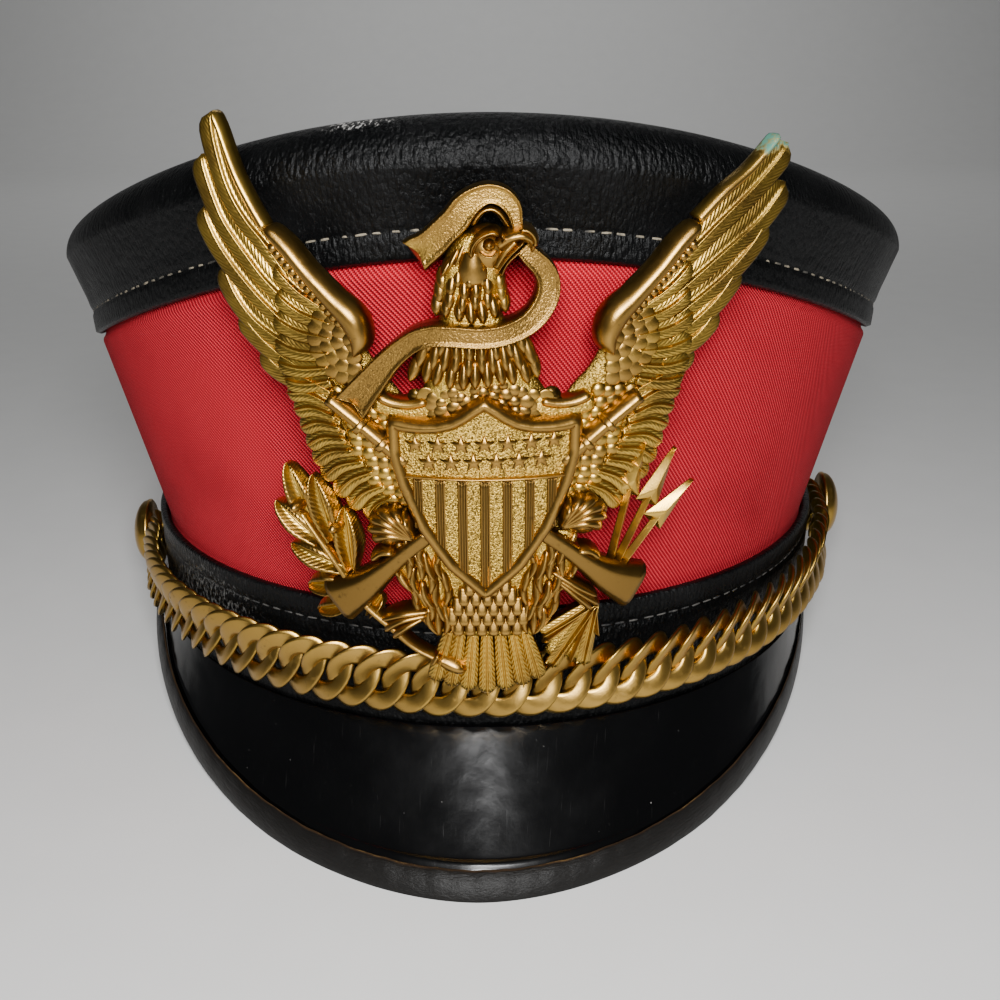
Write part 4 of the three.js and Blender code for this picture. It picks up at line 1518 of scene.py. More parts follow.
@dataclass
class Wing:
    """One wing: flight feathers, short feathers, coverts, scales and the smooth bar on its front edge."""

    relief: Relief
    side: Side
    shoulder: Place = (20.6, 37.4)

    @property
    def flights(self) -> Sequence[Sequence[Place]]:
        """Returns the quills of the flight feathers, from the longest."""
        if self.side is Side.LEFT:
            return (
                ((31.0, 47.0), (35.2, 52.5), (38.4, 56.1), (41.0, 60.4), (42.2, 64.2), (43.0, 67.6),
                 (43.4, 72.2)),
                ((31.0, 42.4), (35.7, 46.6), (39.4, 51.1), (42.4, 55.0), (44.6, 60.0), (46.2, 65.6)),
                ((31.0, 38.6), (35.2, 41.8), (39.2, 45.6), (42.6, 49.5), (45.0, 53.0), (46.8, 57.4)),
                ((30.5, 35.2), (34.5, 37.0), (38.5, 39.6), (41.6, 43.3), (43.8, 48.0)),
                ((29.5, 31.8), (34.5, 34.3), (37.9, 36.9), (41.2, 40.4)),
                ((28.5, 29.0), (34.5, 31.6), (37.8, 34.4)),
            )
        return (
            ((30.6, 48.0), (33.9, 51.0), (38.8, 55.2), (44.2, 59.4), (48.4, 63.0), (51.6, 66.2)),
            ((31.0, 43.8), (35.8, 47.2), (41.0, 50.8), (46.4, 54.4), (51.8, 60.0)),
            ((31.0, 40.0), (35.4, 42.8), (40.2, 46.0), (44.6, 49.8), (48.2, 54.2)),
            ((30.6, 36.4), (34.6, 38.8), (38.8, 42.0), (43.2, 47.2)),
            ((29.6, 33.0), (33.0, 34.8), (36.2, 37.0), (39.4, 40.6)),
            ((28.6, 30.0), (31.8, 31.6), (35.2, 34.6)),
        )

    @property
    def lead(self) -> Sequence[Place]:
        """Returns the line of the smooth leading edge."""
        if self.side is Side.LEFT:
            return ((34.9, 54.6), (37.2, 58.6), (39.3, 62.9), (40.6, 66.8), (41.5, 69.8), (42.6, 72.4))
        return ((34.4, 55.4), (38.8, 59.4), (43.4, 62.6), (46.6, 65.6), (48.8, 67.8))

    def place(self, reach: float, v: float) -> Place:
        """Returns a point of this wing."""
        return self.side.value * reach, v

    def add_feathers(self) -> None:
        """Adds the ground and the three layers of barbed feathers."""
        ground = (
            (27.6, 46.6, 5.0, 1.9), (24.6, 40.0, 7.0, 1.9), (23.4, 35.0, 8.4, 1.9),
            (21.6, 30.0, 10.0, 1.9), (19.0, 25.0, 12.4, 1.9), (17.6, 18.0, 10.6, 1.9),
            (14.6, 9.0, 8.0, 1.9),
        )
        self.relief.ground(mirrored(ground, self.side.value), 0.3, 40, 0.9)
        shorts = (
            ((25.0, 28.6), (34.2, 30.0)), ((25.0, 26.2), (33.6, 27.2)), ((24.6, 24.2), (32.6, 24.2)),
            ((24.0, 22.4), (31.6, 21.0)), ((23.2, 20.4), (30.6, 17.9)), ((22.0, 18.4), (29.6, 15.0)),
            ((20.4, 16.6), (28.2, 12.2)), ((18.6, 14.8), (25.9, 9.2)), ((17.0, 12.4), (23.5, 7.0)),
            ((15.6, 10.2), (20.4, 5.2)),
        )
        coverts = (
            ((25.0, 42.6), (29.4, 45.2), (33.4, 49.0)), ((24.2, 40.2), (29.6, 41.8), (33.6, 44.6)),
            ((24.4, 37.8), (30.2, 38.6), (34.4, 40.6)), ((24.8, 35.2), (30.4, 35.2), (34.6, 36.4)),
            ((25.2, 32.8), (30.4, 32.2), (34.4, 32.8)), ((25.0, 30.6), (29.8, 29.6), (33.4, 29.8)),
        )
        bowed = [(root, between(root, tip, 0.55, 1.1), tip) for root, tip in shorts]
        layers = (
            (self.flights, 5.3, (2.7, 1.9), 0.4),
            (bowed, 4.0, (3.3, 2.6), 0.4),
            (coverts, 4.0, (3.6, 3.2), 1.2),
        )
        for paths, width, heights, base in layers:
            for path in paths:
                quill = mirrored(path, self.side.value)
                self.relief.feather(quill, width, heights, 0.5 * self.side.value, 0.6, base)

    def add_scales(self) -> None:
        """Adds the low round scales at the shoulder and down the inner edge."""
        for ring, count in ((0.6, 2), (2.6, 4), (4.6, 6), (6.4, 8)):
            for turn in np.linspace(math.radians(34.0), math.radians(-88.0), count):
                u = self.shoulder[0] + ring * math.cos(turn)
                v = self.shoulder[1] + ring * math.sin(turn)
                self.relief.dome(self.place(u, v), 1.5, 3.6 - 0.06 * ring, 2.8)
        chance = np.random.default_rng(5)
        for v in np.arange(28.4, 9.0, -1.75):
            inner = float(np.interp(v, [9.0, 18.0, 26.0, 29.0], [13.6, 15.4, 16.6, 19.0]))
            outer = float(np.interp(v, [9.0, 18.0, 26.0, 29.0], [16.2, 22.0, 25.0, 26.0]))
            for reach in np.arange(inner, outer, 1.95):
                shift_u, shift_v = chance.uniform(-0.3, 0.3, 2)
                middle = (float(reach + shift_u), float(v + shift_v))
                self.relief.dome(self.place(*middle), 1.4, 2.7, 1.8)

    def add_bar(self) -> None:
        """Adds the smooth leading edge, the thick bar below it and the scallops beside the bar."""
        widths = np.linspace(2.3, 1.5, len(self.lead))
        rows = [(*self.place(*place), width, 2.9) for place, width in zip(self.lead, widths)]
        self.relief.strip(rows, Section.ROUND, 0.4, 34, tip=0.07)
        bar = (
            (34.4, 55.2, 2.6, 4.2), (31.4, 52.6, 3.4, 4.5), (27.6, 48.2, 3.6, 4.6),
            (23.6, 44.0, 4.2, 4.8), (20.4, 40.6, 5.0, 5.0), (19.6, 37.6, 4.0, 4.7),
            (20.8, 34.4, 1.8, 4.0),
        )
        rows = mirrored(bar, self.side.value)
        self.relief.strip(rows, Section.ROUND, 0.8, 48, tip=0.12, root=0.07)
        for share in np.linspace(0.0, 1.0, 14):
            middle = between((33.2, 51.8), (22.8, 40.4), float(share))
            self.relief.dome(self.place(*middle), 1.0, 3.7, 2.4)

    def add(self) -> None:
        """Adds the whole wing."""
        self.add_feathers()
        self.add_scales()
        self.add_bar()


@dataclass
class Shield:
    """The shield: domed stippled face, rolled border, bar, lined stripes and two rows of stars."""

    relief: Relief
    levels: tuple[float, ...] = (-6.5, -1.25, 5.85, 13.4, 19.2, 24.1)
    half_widths: tuple[float, ...] = (0.15, 5.4, 9.9, 12.9, 14.4, 14.4)
    top_places: tuple[float, ...] = (0.0, 1.7, 3.4, 5.2, 7.4, 9.8, 12.2, 14.4)
    top_levels: tuple[float, ...] = (28.0, 26.9, 25.6, 24.55, 23.95, 23.75, 23.8, 24.1)
    bar_level: float = 15.1
    stripe_pitch: float = 3.55
    stripe_width: float = 2.3
    star_radius: float = 1.5
    border: float = 3.2

    def half_width(self, v: Array) -> Array:
        """Returns half the shield's width at each level."""
        return np.interp(v, self.levels, self.half_widths)

    def top(self, u: Array) -> Array:
        """Returns the level of the shield's curved upper edge."""
        return np.interp(np.abs(u), self.top_places, self.top_levels)

    def height(self, u: Array, v: Array) -> Array:
        """Returns the height of the domed face."""
        swell = 1.2 * (1.0 - (np.asarray(u) / 14.0) ** 2)
        return 4.4 + swell - 0.012 * np.maximum(0.0, 8.0 - np.asarray(v)) ** 1.4

    def add_face(self) -> None:
        """Adds the stippled face and its rolled border."""
        share = np.linspace(-1.0, 1.0, 41)[None, :]
        level = np.linspace(0.0, 1.0, 44)[:, None]
        corner = self.levels[-1]
        side_v = self.levels[0] + (corner - self.levels[0]) * level
        u = share * self.half_width(side_v)
        v = side_v + (self.top(u) - corner) * smooth_step(0.55, 1.0, level)
        front = self.relief.point(u, v, self.height(u, v))
        back = self.relief.point(u[:, ::-1], v[:, ::-1], np.full_like(u, 1.6))
        uv = wrapped_uv(np.concatenate([v, v[:, ::-1]], 1), np.concatenate([u, u[:, ::-1]], 1))
        self.relief.patch.add(np.concatenate([front, back], 1), uv, {"height": 0.22, "stipple": 1.0})
        down = np.linspace(corner, self.levels[0], 40)
        right = np.stack([self.half_width(down), down], -1)
        across = np.linspace(-self.half_widths[-1], self.half_widths[-1], 35)
        over = np.stack([across, self.top(across)], -1)
        left = right[::-1] * np.array([-1.0, 1.0])
        outline = np.concatenate([over[:-1], right[:-1], left])
        crest = self.height(outline[:, 0], outline[:, 1]) + 0.9
        rows = np.column_stack([outline, np.full(len(outline), self.border), crest])
        self.relief.strip(rows, Section.ROUND, 1.6, 240, ring=True)

    def add_charges(self) -> None:
        """Adds the bar, the stripes below it and the stars above it."""
        reach = float(self.half_width(np.array(self.bar_level)))
        places = np.linspace(-reach, reach, 9)
        bar = [(u, self.bar_level, 1.2, float(self.height(u, self.bar_level)) + 0.6) for u in places]
        self.relief.strip(bar, Section.ROUND, 2.0, 30)
        for middle in np.arange(-3, 4) * self.stripe_pitch:
            inner = abs(middle) - self.stripe_width / 2
            low = float(np.interp(max(0.0, inner), self.half_widths, self.levels)) + 0.6
            levels = np.linspace(self.bar_level - 0.4, low, 6)
            stripe = [(middle, v, self.stripe_width, float(self.height(middle, v)) + 0.4) for v in levels]
            self.relief.strip(stripe, Section.BAND, 2.0, 18, marks={"lined": 1.0})
        for row_v, places in ((21.2, np.linspace(-10.9, 10.9, 7)), (18.1, np.linspace(-8.8, 8.9, 6))):
            for middle in places:
                self._add_star((float(middle), row_v + 0.03 * float(middle)))

    def _add_star(self, middle: Place) -> None:
        """Adds a small raised star with five points."""
        turn = full_turn(10) + math.pi / 2
        reach = np.where(np.arange(10) % 2 == 0, self.star_radius, self.star_radius * 0.42)
        sizes = np.array([1.3, 1.22, 1.0, 0.8, 0.1])[:, None]
        heights = float(self.height(*middle)) + np.array([-0.8, 0.03, 0.3, 0.5, 0.56])[:, None]
        # Painted shade round the foot of the star.
        crease = np.array([1.0, 1.0, 0.5, 0.0, 0.0])[:, None]
        u = middle[0] + sizes * reach * np.cos(turn)
        v = middle[1] + sizes * reach * np.sin(turn)
        self.relief.patch.add(self.relief.point(u, v, heights), None, {"height": 0.8, "crease": crease})

    def add(self) -> None:
        """Adds the whole shield."""
        self.add_face()
        self.add_charges()


@dataclass
class Bird:
    """The eagle's neck, head, body, legs, claws and tail."""

    relief: Relief
    shield: Shield
    seed: int = 3

    def add_neck(self) -> None:
        """Adds the neck with rows of plumes and the lumps and rolls at its foot."""
        neck = (
            (-0.3, 27.0, 22.0, 3.6), (-0.8, 32.0, 17.0, 4.0), (-1.2, 37.0, 13.0, 4.2),
            (-2.0, 42.0, 9.8, 4.2), (-2.2, 46.0, 9.2, 4.2), (-1.4, 50.0, 9.0, 4.4),
            (0.4, 53.4, 7.6, 4.4), (1.2, 55.4, 4.2, 4.2),
        )
        self.relief.ground(neck, 0.8, 44, 0.5, 0.08)
        chance = np.random.default_rng(self.seed)
        plumes = (
            (30.0, 10.2, 11, 5.4), (32.2, 9.0, 10, 5.8), (34.6, 7.6, 8, 5.0), (41.0, 5.4, 7, 4.4),
            (42.6, 5.0, 6, 4.8), (44.8, 4.6, 6, 4.0), (46.6, 3.6, 5, 3.4),
        )
        for tip_v, spread, count, length in plumes:
            for share in np.linspace(-1.0, 1.0, count):
                middle = -1.3 if tip_v < 36.0 else -2.0
                shift_u, shift_v = chance.uniform(-0.35, 0.35, 2)
                tip = (middle + share * spread + shift_u, tip_v + 1.1 * share * share + shift_v)
                root = (middle + share * spread * (1.0 - 0.035 * length), tip[1] + length)
                self.relief.drop(root, tip, 2.4, 5.6 - 1.9 * share * share, 1.8, 0.7)
        for row in range(3):
            for u in np.linspace(-11.0, 11.0, 15):
                shift_u, shift_v = chance.uniform(-0.5, 0.5, 2)
                v = float(self.shield.top(np.array(u))) + 1.8 + row * 1.5
                if v < 31.0:
                    place = (float(u + shift_u), v + float(shift_v))
                    self.relief.dome(place, float(chance.uniform(1.0, 1.6)), 4.3 - 0.012 * u * u, 3.1)
        for side in (-1, 1):
            shelf = mirrored(((17.6, 26.8, 3.0, 3.2), (12.0, 25.8, 4.2, 3.4), (8.0, 27.0, 4.6, 3.4)), side)
            self.relief.ground(shelf, 0.5, 16, 0.5)
            roll = ((17.2, 28.4), (14.6, 27.3), (11.6, 27.1), (8.8, 27.8))
            self.relief.line(mirrored(roll, side), 2.4, 4.0)

    def add_head(self) -> None:
        """Adds the head turned to the right: brow, eye, beak, cheek and hackles."""
        relief = self.relief
        relief.dome((0.6, 52.4), 4.0, 5.2, 1.4)
        cheek = ((-1.4, 52.4, 4.4, 5.2), (-1.5, 49.8, 6.0, 5.5), (-1.4, 47.0, 5.2, 5.3))
        relief.strip(cheek, Section.ROUND, 1.4, 20, tip=0.15)
        beak = (
            (2.2, 53.4, 3.2, 5.4), (4.4, 54.7, 2.8, 5.8), (6.0, 54.8, 2.5, 5.8), (7.1, 54.0, 2.0, 5.4),
            (7.4, 53.0, 1.4, 4.8), (7.2, 52.0, 0.6, 4.2),
        )
        relief.strip(beak, Section.ROUND, 1.0, 26, tip=0.06)
        throat = ((2.0, 50.0, 2.2, 5.0), (3.2, 52.2, 2.6, 5.3), (4.8, 54.0, 2.2, 5.3))
        relief.strip(throat, Section.ROUND, 1.0, 14)
        relief.line(((1.8, 48.9), (2.9, 50.7), (4.1, 52.2), (5.1, 53.2), (6.1, 54.2)), 0.8, 5.9, 1.0, 0.08)
        relief.line(((2.6, 48.7), (3.5, 50.6), (4.7, 51.9), (5.6, 52.7)), 0.9, 5.5, 1.0, 0.08)
        brow = ((-1.7, 51.6), (-1.6, 53.1), (-1.0, 54.3), (0.3, 55.3), (1.6, 55.6), (2.4, 54.9))
        relief.line(brow, 1.2, 6.7, 2.0)
        relief.line(((2.6, 55.4), (3.1, 54.6), (2.7, 53.9)), 0.9, 6.3, 2.0, 0.2)
        relief.line(((-0.5, 52.7), (0.4, 52.0), (1.4, 52.0), (2.1, 52.8)), 0.7, 6.2, 3.0)
        relief.dome((0.9, 53.5), 1.2, 6.2, 3.0)
        relief.dome((1.0, 53.5), 0.5, 6.5, 3.0)
        hackles = (((-2.4, 54.2), (-4.3, 49.7)), ((-3.4, 53.2), (-5.4, 49.2)), ((-4.2, 52.0), (-6.4, 48.3)))
        for start, end in hackles:
            relief.drop(start, end, 1.8, 5.0, 1.0, 0.5)

    def add_body(self) -> None:
        """Adds the ground behind the shield, the thigh curls and the feathered legs."""
        body = (
            (0.0, -15.5, 8.0, 2.4), (0.0, -9.0, 17.0, 2.8), (0.0, 0.0, 25.0, 3.0),
            (0.0, 12.0, 29.0, 3.0), (0.0, 22.0, 30.0, 3.0), (0.0, 28.0, 24.0, 3.0),
        )
        self.relief.ground(body, 0.5, 30, 0.8)
        for side, middle in ((-1, (-16.0, 4.6)), (1, (16.6, 6.6))):
            self._add_curl(side, middle)
        for side in (-1, 1):
            self._add_leg(side)

    def _add_leg(self, side: int) -> None:
        """Adds one leg of long overlapping plumes that flow down to the tail."""
        stations = ((11.8, 4.0, 3.6), (11.2, -3.0, 4.0), (9.2, -9.4, 3.0), (7.2, -16.2, 1.3))
        ground = [(side * u, v, half * 2.0, 3.2) for u, v, half in stations]
        self.relief.ground(ground, 0.8, 24, 0.5, 0.1)
        flow = smooth_rows(stations, 41)
        share = np.linspace(0.0, 1.0, len(flow))
        for row in range(6):
            for place in np.linspace(-0.9, 0.9, 4 + row % 2):
                rows = []
                for part, width, rise in ((0.0, 1.3, -1.3), (0.15, 2.1, -0.4), (0.29, 0.9, 0.0)):
                    at = 0.02 + row * 0.135 + part
                    u, v, half = (float(np.interp(at, share, flow[:, column])) for column in range(3))
                    sway = 0.7 * math.sin(row * 2.1 + place * 3.0 + part * 14.0)
                    crest = 5.2 - 1.1 * place * place + rise
                    rows.append((side * (u + half * place + sway), v, width, crest))
                self.relief.strip(rows, Section.ROUND, 1.2, 12, tip=0.25, root=0.1)

    def _add_curl(self, side: int, middle: Place) -> None:
        """Adds one ribbed curl at the top of a leg."""
        self.relief.dome(middle, 4.0, 5.2, 1.0)
        focus = (middle[0] - side * 4.0, middle[1] - 1.4)
        for turn in np.linspace(math.radians(120.0), math.radians(-40.0), 6):
            end = (middle[0] + side * 3.9 * math.cos(turn), middle[1] + 3.9 * math.sin(turn))
            rows = ((*focus, 1.2, 4.8), (*between(focus, end, 0.6, 1.4), 2.2, 6.0), (*end, 2.6, 4.4))
            self.relief.strip(rows, Section.ROUND, 2.6, 14, tip=0.22)

    def add_claws(self) -> None:
        """Adds the toes that grip the laurel and the arrows."""
        toes = (
            ((-9.8, -11.2), (-14.2, -11.6), (-18.4, -13.6)),
            ((-10.2, -12.0), (-14.6, -13.0), (-17.8, -16.0)),
            ((-10.8, -12.6), (-14.2, -14.6), (-16.2, -17.2)),
            ((11.2, -3.6), (15.4, -6.4), (19.4, -9.4)), ((11.6, -4.6), (16.0, -7.8), (19.8, -11.2)),
            ((12.0, -5.4), (15.8, -8.8), (18.4, -12.0)),
        )
        for root, middle, end in toes:
            rows = ((*root, 1.4, 4.2), (*middle, 2.1, 5.4), (*end, 1.6, 4.4))
            self.relief.strip(rows, Section.ROUND, 1.0, 16, tip=0.18)

    def add_tail(self) -> None:
        """Adds the tail feathers under rows of scale feathers."""
        feathers = (
            ((-6.3, -15.4), (-9.2, -26.4)), ((6.5, -15.2), (9.4, -26.0)),
            ((-4.4, -15.6), (-6.3, -27.4)), ((4.6, -15.4), (6.6, -27.3)),
            ((-2.2, -15.8), (-3.3, -28.2)), ((2.4, -15.6), (3.5, -28.1)), ((0.1, -15.8), (0.1, -28.8)),
        )
        for path in feathers:
            self.relief.feather(path, 3.5, (3.9, 4.9), barb=1.3, base=0.6, slim=0.6)
        ground = ((0.3, -5.0, 8.0, 3.4), (0.3, -11.0, 10.4, 3.5), (0.2, -16.0, 13.0, 3.6))
        self.relief.strip(ground, Section.BAND, 0.8, 12, marks={"height": 0.15})
        for row, count in enumerate((4, 5, 6, 7, 6)):
            v = -6.4 - 2.0 * row
            for place in range(count):
                u = 0.3 + (place - (count - 1) / 2) * 2.0
                rows = ((u, v + 2.0, 2.0, 3.6), (u, v, 2.3, 4.4), (u, v - 1.6, 2.2, 4.9))
                self.relief.strip(rows, Section.BAND, 1.5, 12, tip=0.34, marks={"height": 0.75})

    def add(self) -> None:
        """Adds the whole bird except its wings."""
        self.add_body()
        self.add_neck()
        self.add_head()
        self.add_claws()
        self.add_tail()


@dataclass
class Trophies:
    """What the eagle holds: the ribbon, crossed rifles, a laurel sprig and arrows."""

    relief: Relief

    def add_ribbons(self) -> None:
        """Adds the ribbon from the beak across the neck and its end that arches over the head."""
        arch = (
            (-8.6, 52.8, 5.9, 3.5), (-7.2, 53.9, 5.2, 3.7), (-5.7, 55.4, 4.7, 3.9),
            (-4.0, 57.1, 4.6, 4.1), (-2.6, 59.0, 4.4, 4.2), (-1.0, 60.3, 3.8, 4.2),
            (1.0, 61.0, 3.3, 4.2), (3.1, 60.4, 3.2, 4.2), (4.4, 59.0, 2.9, 4.2), (5.0, 57.1, 2.1, 4.2),
            (5.2, 55.6, 1.6, 4.2),
        )
        self.relief.strip(arch, Section.RIMMED, 0.8, 60, fork=2.6, marks={"stipple": 0.25})
        lip = ((-1.6, 56.0), (-0.8, 57.4), (0.3, 58.4), (1.4, 58.6), (2.6, 57.9), (3.5, 56.6), (4.2, 55.6))
        self.relief.line(lip, 1.2, 3.4, 0.6)
        ribbon = (
            (-20.0, 28.2, 6.4, 4.6), (-17.6, 31.2, 5.2, 4.7), (-14.8, 34.6, 4.0, 4.9),
            (-12.4, 36.9, 3.7, 5.2), (-10.2, 38.5, 3.7, 5.8), (-7.8, 39.3, 3.7, 6.3),
            (-5.0, 39.4, 3.7, 6.8), (0.2, 39.2, 3.7, 7.0), (2.9, 39.5, 3.7, 6.6), (5.3, 40.2, 3.7, 5.8),
            (7.4, 41.4, 3.8, 5.0), (9.0, 43.3, 3.9, 4.6), (9.9, 45.5, 3.9, 4.4), (9.9, 47.7, 3.8, 4.4),
            (9.0, 49.6, 3.6, 4.6), (7.3, 51.4, 3.2, 4.8), (5.9, 52.8, 2.6, 4.8),
        )
        self.relief.strip(ribbon, Section.RIMMED, 0.8, 100, fork=3.0, marks={"stipple": 0.3})
        self.relief.line(((5.2, 55.8), (6.6, 55.6), (7.6, 54.4), (7.5, 53.0)), 1.6, 5.6)

    def add_rifles(self) -> None:
        """Adds the crossed rifles that show beside the shield."""
        for side in (-1, 1):
            barrel = ((25.2, 27.6, 3.2, 4.8), (20.0, 23.5, 3.4, 5.0), (12.6, 17.0, 3.6, 5.0))
            barrel = mirrored(barrel, side)
            self.relief.strip(barrel, Section.ROUND, 0.8, 20)
            ends = (barrel[0][:2], barrel[-1][:2])
            for share in (0.38, 0.66):
                ring = [(*between(*ends, place), 4.2, 5.5) for place in (share, share + 0.07)]
                self.relief.strip(ring, Section.ROUND, 1.0, 4)
            dip = 0.0 if side > 0 else 2.0
            stock = (
                (9.4, 4.2 - 0.2 * dip, 3.4, 4.7),
                (13.6, 0.8 - 0.4 * dip, 3.5, 4.9),
                (17.4, -2.6 - 0.6 * dip, 4.4, 5.0),
                (21.4, -5.8 - 0.9 * dip, 6.4, 5.0),
                (26.0, -8.4 - 1.2 * dip, 9.0, 4.7),
            )
            # The shade mark is set over the whole stock, so painted shade darkens it all over, and it takes
            # the brown of the heights.
            darkened_stock = {"height": 1.0, "crease": 0.6}
            self.relief.strip(mirrored(stock, side), Section.BAND, 0.8, 28, marks=darkened_stock)
            lock = ((15.0, 0.4), (17.4, 0.2), (19.2, -1.4))
            self.relief.line(mirrored(lock, side), 2.0, 5.3, 1.2, 0.2)

    def add_laurel(self) -> None:
        """Adds the laurel sprig in the left claw, with its bud."""
        stem = (
            (-8.0, -21.6, 1.7, 3.8), (-12.6, -19.0, 1.9, 3.8), (-16.0, -15.8, 2.0, 3.8),
            (-21.6, -10.6, 1.9, 3.6), (-25.4, -4.6, 1.8, 3.4), (-29.4, 1.4, 1.6, 3.2),
            (-32.2, 5.6, 1.2, 3.0),
        )
        self.relief.strip(stem, Section.ROUND, 0.8, 40)
        self.relief.line(((-9.4, -22.2), (-8.2, -19.6)), 1.5, 4.6, 1.0, 0.25)
        self.relief.drop((-9.0, -21.0), (-3.4, -23.4), 3.6, 4.9, 1.0)
        leaves = (
            ((-23.6, -5.0), (-24.4, 7.2), 5.4), ((-26.6, 0.6), (-29.8, 12.8), 5.8),
            ((-30.2, 3.6), (-34.6, 14.4), 5.4), ((-29.4, 0.0), (-37.4, 6.8), 5.4),
            ((-25.0, -4.8), (-35.0, -1.2), 5.4), ((-24.4, -7.6), (-32.2, -9.2), 5.0),
            ((-24.0, -11.6), (-30.6, -14.0), 3.8), ((-20.8, -13.6), (-18.4, -9.4), 2.8),
        )
        for root, end, width in leaves:
            middle = between(root, end, 0.5)
            rows = ((*root, width * 0.45, 3.2), (*middle, width * 1.05, 3.8), (*end, 2.4, 2.8))
            # Light painted shade over the whole leaf.
            self.relief.strip(rows, Section.LEAF, 0.5, 28, tip=0.2, marks={"barb": 0.8, "crease": 0.15})
        for place in ((-32.6, 6.9), (-25.8, 3.7)):
            self.relief.dome(place, 1.35, 4.8, 1.0)

    def add_arrows(self) -> None:
        """Adds the arrows in the right claw, with barbed heads and spread fletching."""
        arrows = (
            ((27.2, 18.6), (25.2, 11.9), 4.2, (22.0, -2.6)),
            ((32.8, 17.0), (29.2, 9.6), 4.4, (23.2, -3.4)),
            ((36.6, 10.4), (31.2, 5.2), 4.8, (24.2, -4.0)),
        )
        plain = {"height": 0.4, "crease": 0.0}
        for tip, notch, width, root in arrows:
            head = ((*notch, width, 3.0), (*tip, 0.3, 2.6))
            self.relief.strip(head, Section.TENT, 1.7, 14, fork=2.8, marks=plain)
            shaft = ((*notch, 1.3, 2.5), (*root, 1.6, 2.9))
            self.relief.strip(shaft, Section.TENT, 1.5, 10, marks=plain)
        vanes = (
            ((18.8, -10.8), (10.0, -17.0)), ((18.8, -11.2), (11.6, -23.6)),
            ((19.2, -11.0), (17.4, -23.8)),
        )
        web = ((19.0, -10.6, 1.6, 2.4), (15.6, -16.6, 7.0, 2.4), (14.0, -22.0, 7.6, 2.2))
        self.relief.strip(web, Section.BAND, 0.6, 14, marks={"stipple": 0.8, "height": 0.2})
        for path in vanes:
            rows = ((*path[0], 1.6, 4.2), (*between(*path, 0.5), 2.6, 3.8), (*path[1], 3.0, 3.2))
            self.relief.strip(rows, Section.FEATHER, 0.6, 18, marks={"barb": 1.2, "height": 0.4})
        for end in ((9.8, -18.4), (14.6, -23.2), (19.8, -18.0)):
            self.relief.line(((19.0, -11.0), end), 0.8, 3.6, 0.8, 0.06)

    def add(self) -> None:
        """Adds everything that the eagle holds."""
        self.add_rifles()
        self.add_laurel()
        self.add_arrows()
        self.add_ribbons()


@dataclass
class EaglePlate:
    """The stamped brass eagle on the front of the crown, with two posts on its back."""

    stance: Stance
    post_radius: float = 1.6
    posts: Rows = ((40.0, 5.6), (-5.0, 8.2))

    def _add_posts(self, relief: Relief) -> None:
        """Adds the two plain posts on the back."""
        turn = full_turn(20)[None, :]
        for v, length in self.posts:
            height = np.array([2.0, -length])[:, None] + 0.0 * turn
            u = self.post_radius * np.cos(turn)
            grid = relief.point(u, v + self.post_radius * np.sin(turn), height)
            relief.patch.add(grid, None, {"height": 0.3})

    def build(self, finish: Material) -> Object:
        """Returns the whole plate as one piece."""
        relief = Relief()
        for side in Side:
            Wing(relief, side).add()
        shield = Shield(relief)
        Bird(relief, shield).add()
        shield.add()
        Trophies(relief).add()
        self._add_posts(relief)
        piece = relief.patch.to_object("eagle_relief", self.stance, finish)
        return settle(piece, Slot.PLATE, "eagle_plate")


@dataclass(frozen=True)
class Lamp:
    """One soft light: its place and aim in metres, its width and height, and its power in watts."""

    name: str
    place: Triple
    size: Place
    power: float
    aim: Triple

    def build(self) -> None:
        """Adds the light to the scene."""
        light = bpy.data.lights.new(self.name, "AREA")
        light.energy = self.power
        light.shape = "RECTANGLE"
        light.size, light.size_y = self.size
        lamp = add_object(self.name, light)
        lamp.location = self.place
        lamp.rotation_euler = (Vector(self.aim) - Vector(self.place)).to_track_quat("-Z", "Y").to_euler()


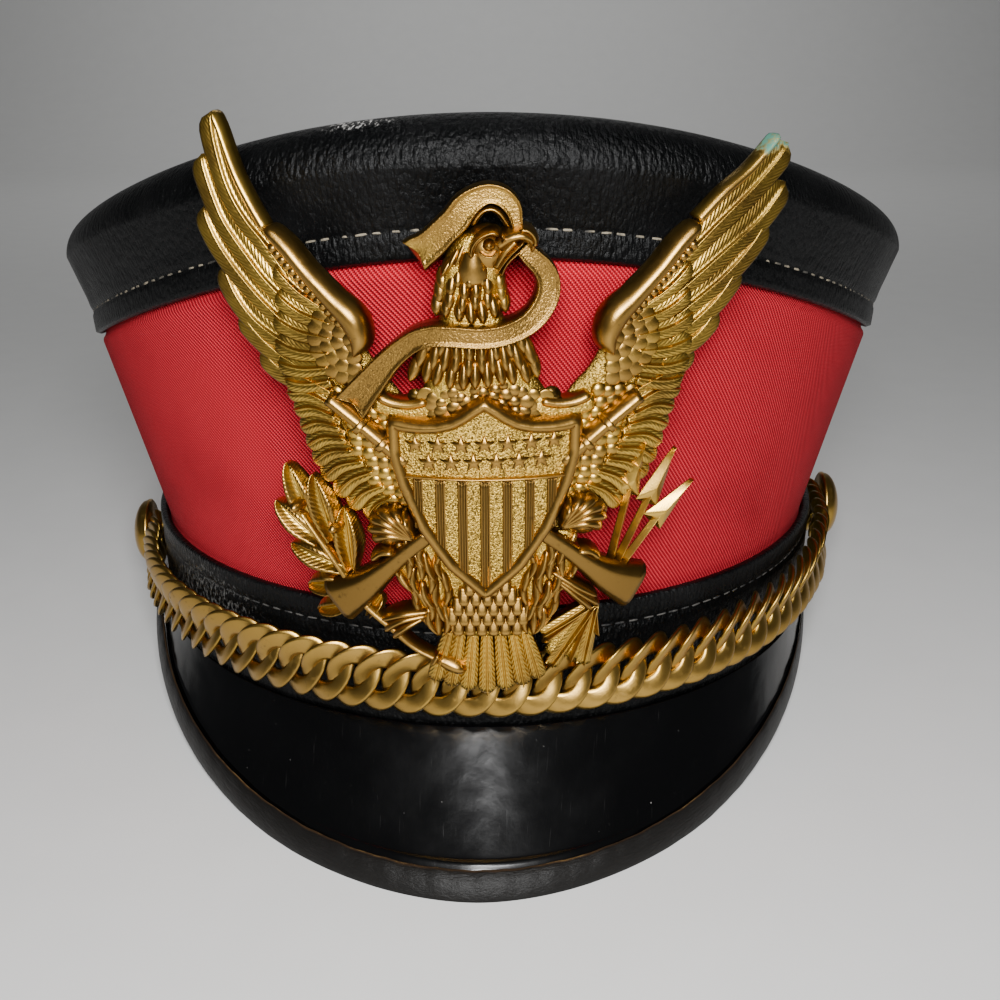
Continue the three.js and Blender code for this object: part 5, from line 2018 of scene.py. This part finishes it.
@dataclass
class Studio:
    """The pale floor, the soft lights and the camera at the photograph's angle."""

    stance: Stance
    lamps: tuple[Lamp, ...] = (
        Lamp("key", (0.01, -0.37, 0.225), (0.12, 0.12), 2.5, (0.0, -0.08, 0.06)),
        Lamp("over", (0.0, -0.59, 0.855), (0.14, 0.08), 2.0, (0.0, -0.12, 0.02)),
        Lamp("backdrop", (0.0, 0.85, 0.95), (0.5, 0.35), 4.5, (0.0, 1.35, 0.2)),
    )
    surroundings: Colour = (0.75, 0.77, 0.80, 1.0)
    surround_strength: float = 0.07
    camera_place: Triple = (0.0, -303.75, 108.1)
    camera_pitch: float = 0.294
    camera_roll: float = -0.009
    lens: float = 41.31
    sensor: float = 36.0
    shift: float = 0.015
    floor_reach: float = 2.2
    backdrop: float = 1.1
    backdrop_round: float = 0.5
    backdrop_top: float = 1.8

    def build_floor(self) -> None:
        """Makes a floor that curves up to a backdrop."""
        turn = np.linspace(0.0, math.pi / 2, 20)
        curve_y = self.backdrop + self.backdrop_round * np.sin(turn)
        curve_z = self.backdrop_round * (1.0 - np.cos(turn))
        y = np.concatenate([[-self.floor_reach], curve_y, [curve_y[-1]]])
        z = np.concatenate([[0.0], curve_z, [self.backdrop_top]])
        left = np.stack([np.full_like(y, -self.floor_reach), y, z], -1)
        right = left * np.array([-1.0, 1.0, 1.0])
        count = len(y)
        faces = [(i, i + count, i + count + 1, i + 1) for i in range(count - 1)]
        mesh = bpy.data.meshes.new("floor")
        mesh.from_pydata(np.concatenate([left, right]).tolist(), [], faces)
        mesh.polygons.foreach_set("use_smooth", np.ones(len(mesh.polygons), bool))
        mesh.materials.append(FloorFinish().material())
        floor = add_object("floor", mesh)

    def build_lights(self) -> None:
        """Sets the lights and the pale surroundings."""
        for lamp in self.lamps:
            lamp.build()
        world = bpy.data.worlds.new("studio")
        world.use_nodes = True
        shade = world.node_tree.nodes["Background"]
        shade.inputs["Color"].default_value = self.surroundings
        shade.inputs["Strength"].default_value = self.surround_strength
        bpy.context.scene.world = world

    def build_camera(self) -> None:
        """Sets the camera where the photograph was taken from."""
        data = bpy.data.cameras.new("camera")
        data.sensor_width = self.sensor
        data.lens = self.lens
        data.shift_x = self.shift
        data.clip_start = 0.01
        camera = add_object("camera", data)
        camera.location = self.stance.place(np.array(self.camera_place))
        down = self.camera_pitch + self.stance.lean
        turn = Euler((math.pi / 2 - down, 0.0, 0.0)).to_matrix() @ Matrix.Rotation(self.camera_roll, 3, "Z")
        camera.rotation_euler = turn.to_euler()
        bpy.context.scene.camera = camera


def stand_hat() -> Stance:
    """Returns where the hat stands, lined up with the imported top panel."""
    crown = Crown(Oval(), Stance(forward=0.0))
    back = crown.oval.point(np.array(crown.panel_rim), np.array(math.pi), np.array(crown.panel_top))
    level = crown.stance.place(back)
    return Stance(forward=(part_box("crown_top")[1].y - level[1]) / MM)


def main() -> None:
    """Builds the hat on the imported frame, piece by piece."""
    logging.basicConfig(level=logging.INFO, format="%(name)s: %(message)s")
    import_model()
    stance = stand_hat()
    oval = Oval()
    studio = Studio(stance)
    studio.build_camera()
    studio.build_floor()
    studio.build_lights()
    top_leather = LeatherFinish("top_leather", 1.0, 0.8, (-21.0, 25.0), scuff_reach=9.0)
    lower_leather = LeatherFinish("lower_leather", scuffs=0.2, scuff_middle=(-70.0, 18.0))
    crown = Crown(oval, stance)
    crown.build_wall(TwillFinish().material())
    crown.build_panel(LeatherFinish("panel_leather").material())
    bands = Bands(oval, stance)
    bands.build_top(top_leather.material())
    bands.build_lower(lower_leather.material())
    pale = ThreadFinish("pale_thread", (0.20, 0.17, 0.12, 1.0), (0.03, 0.027, 0.022, 1.0))
    dark = ThreadFinish("dark_thread", (0.07, 0.066, 0.06, 1.0), (0.012, 0.012, 0.012, 1.0))
    bands.build_seams(pale.material(), dark.material())
    visor = Visor(oval, stance)
    visor.build(PatentFinish().material())
    visor.build_binding(BindingFinish().material())
    chain = Chain(oval, stance)
    chain_brass = BrassFinish("chain_brass", (0.41, 0.25, 0.06, 1.0), (0.76, 0.50, 0.09, 1.0)).material()
    chain.build(chain_brass)
    chain.build_buttons(chain_brass)
    EaglePlate(stance).build(BrassFinish("plate_brass", patina=1.0).material())


if __name__ == "__main__":
    main()
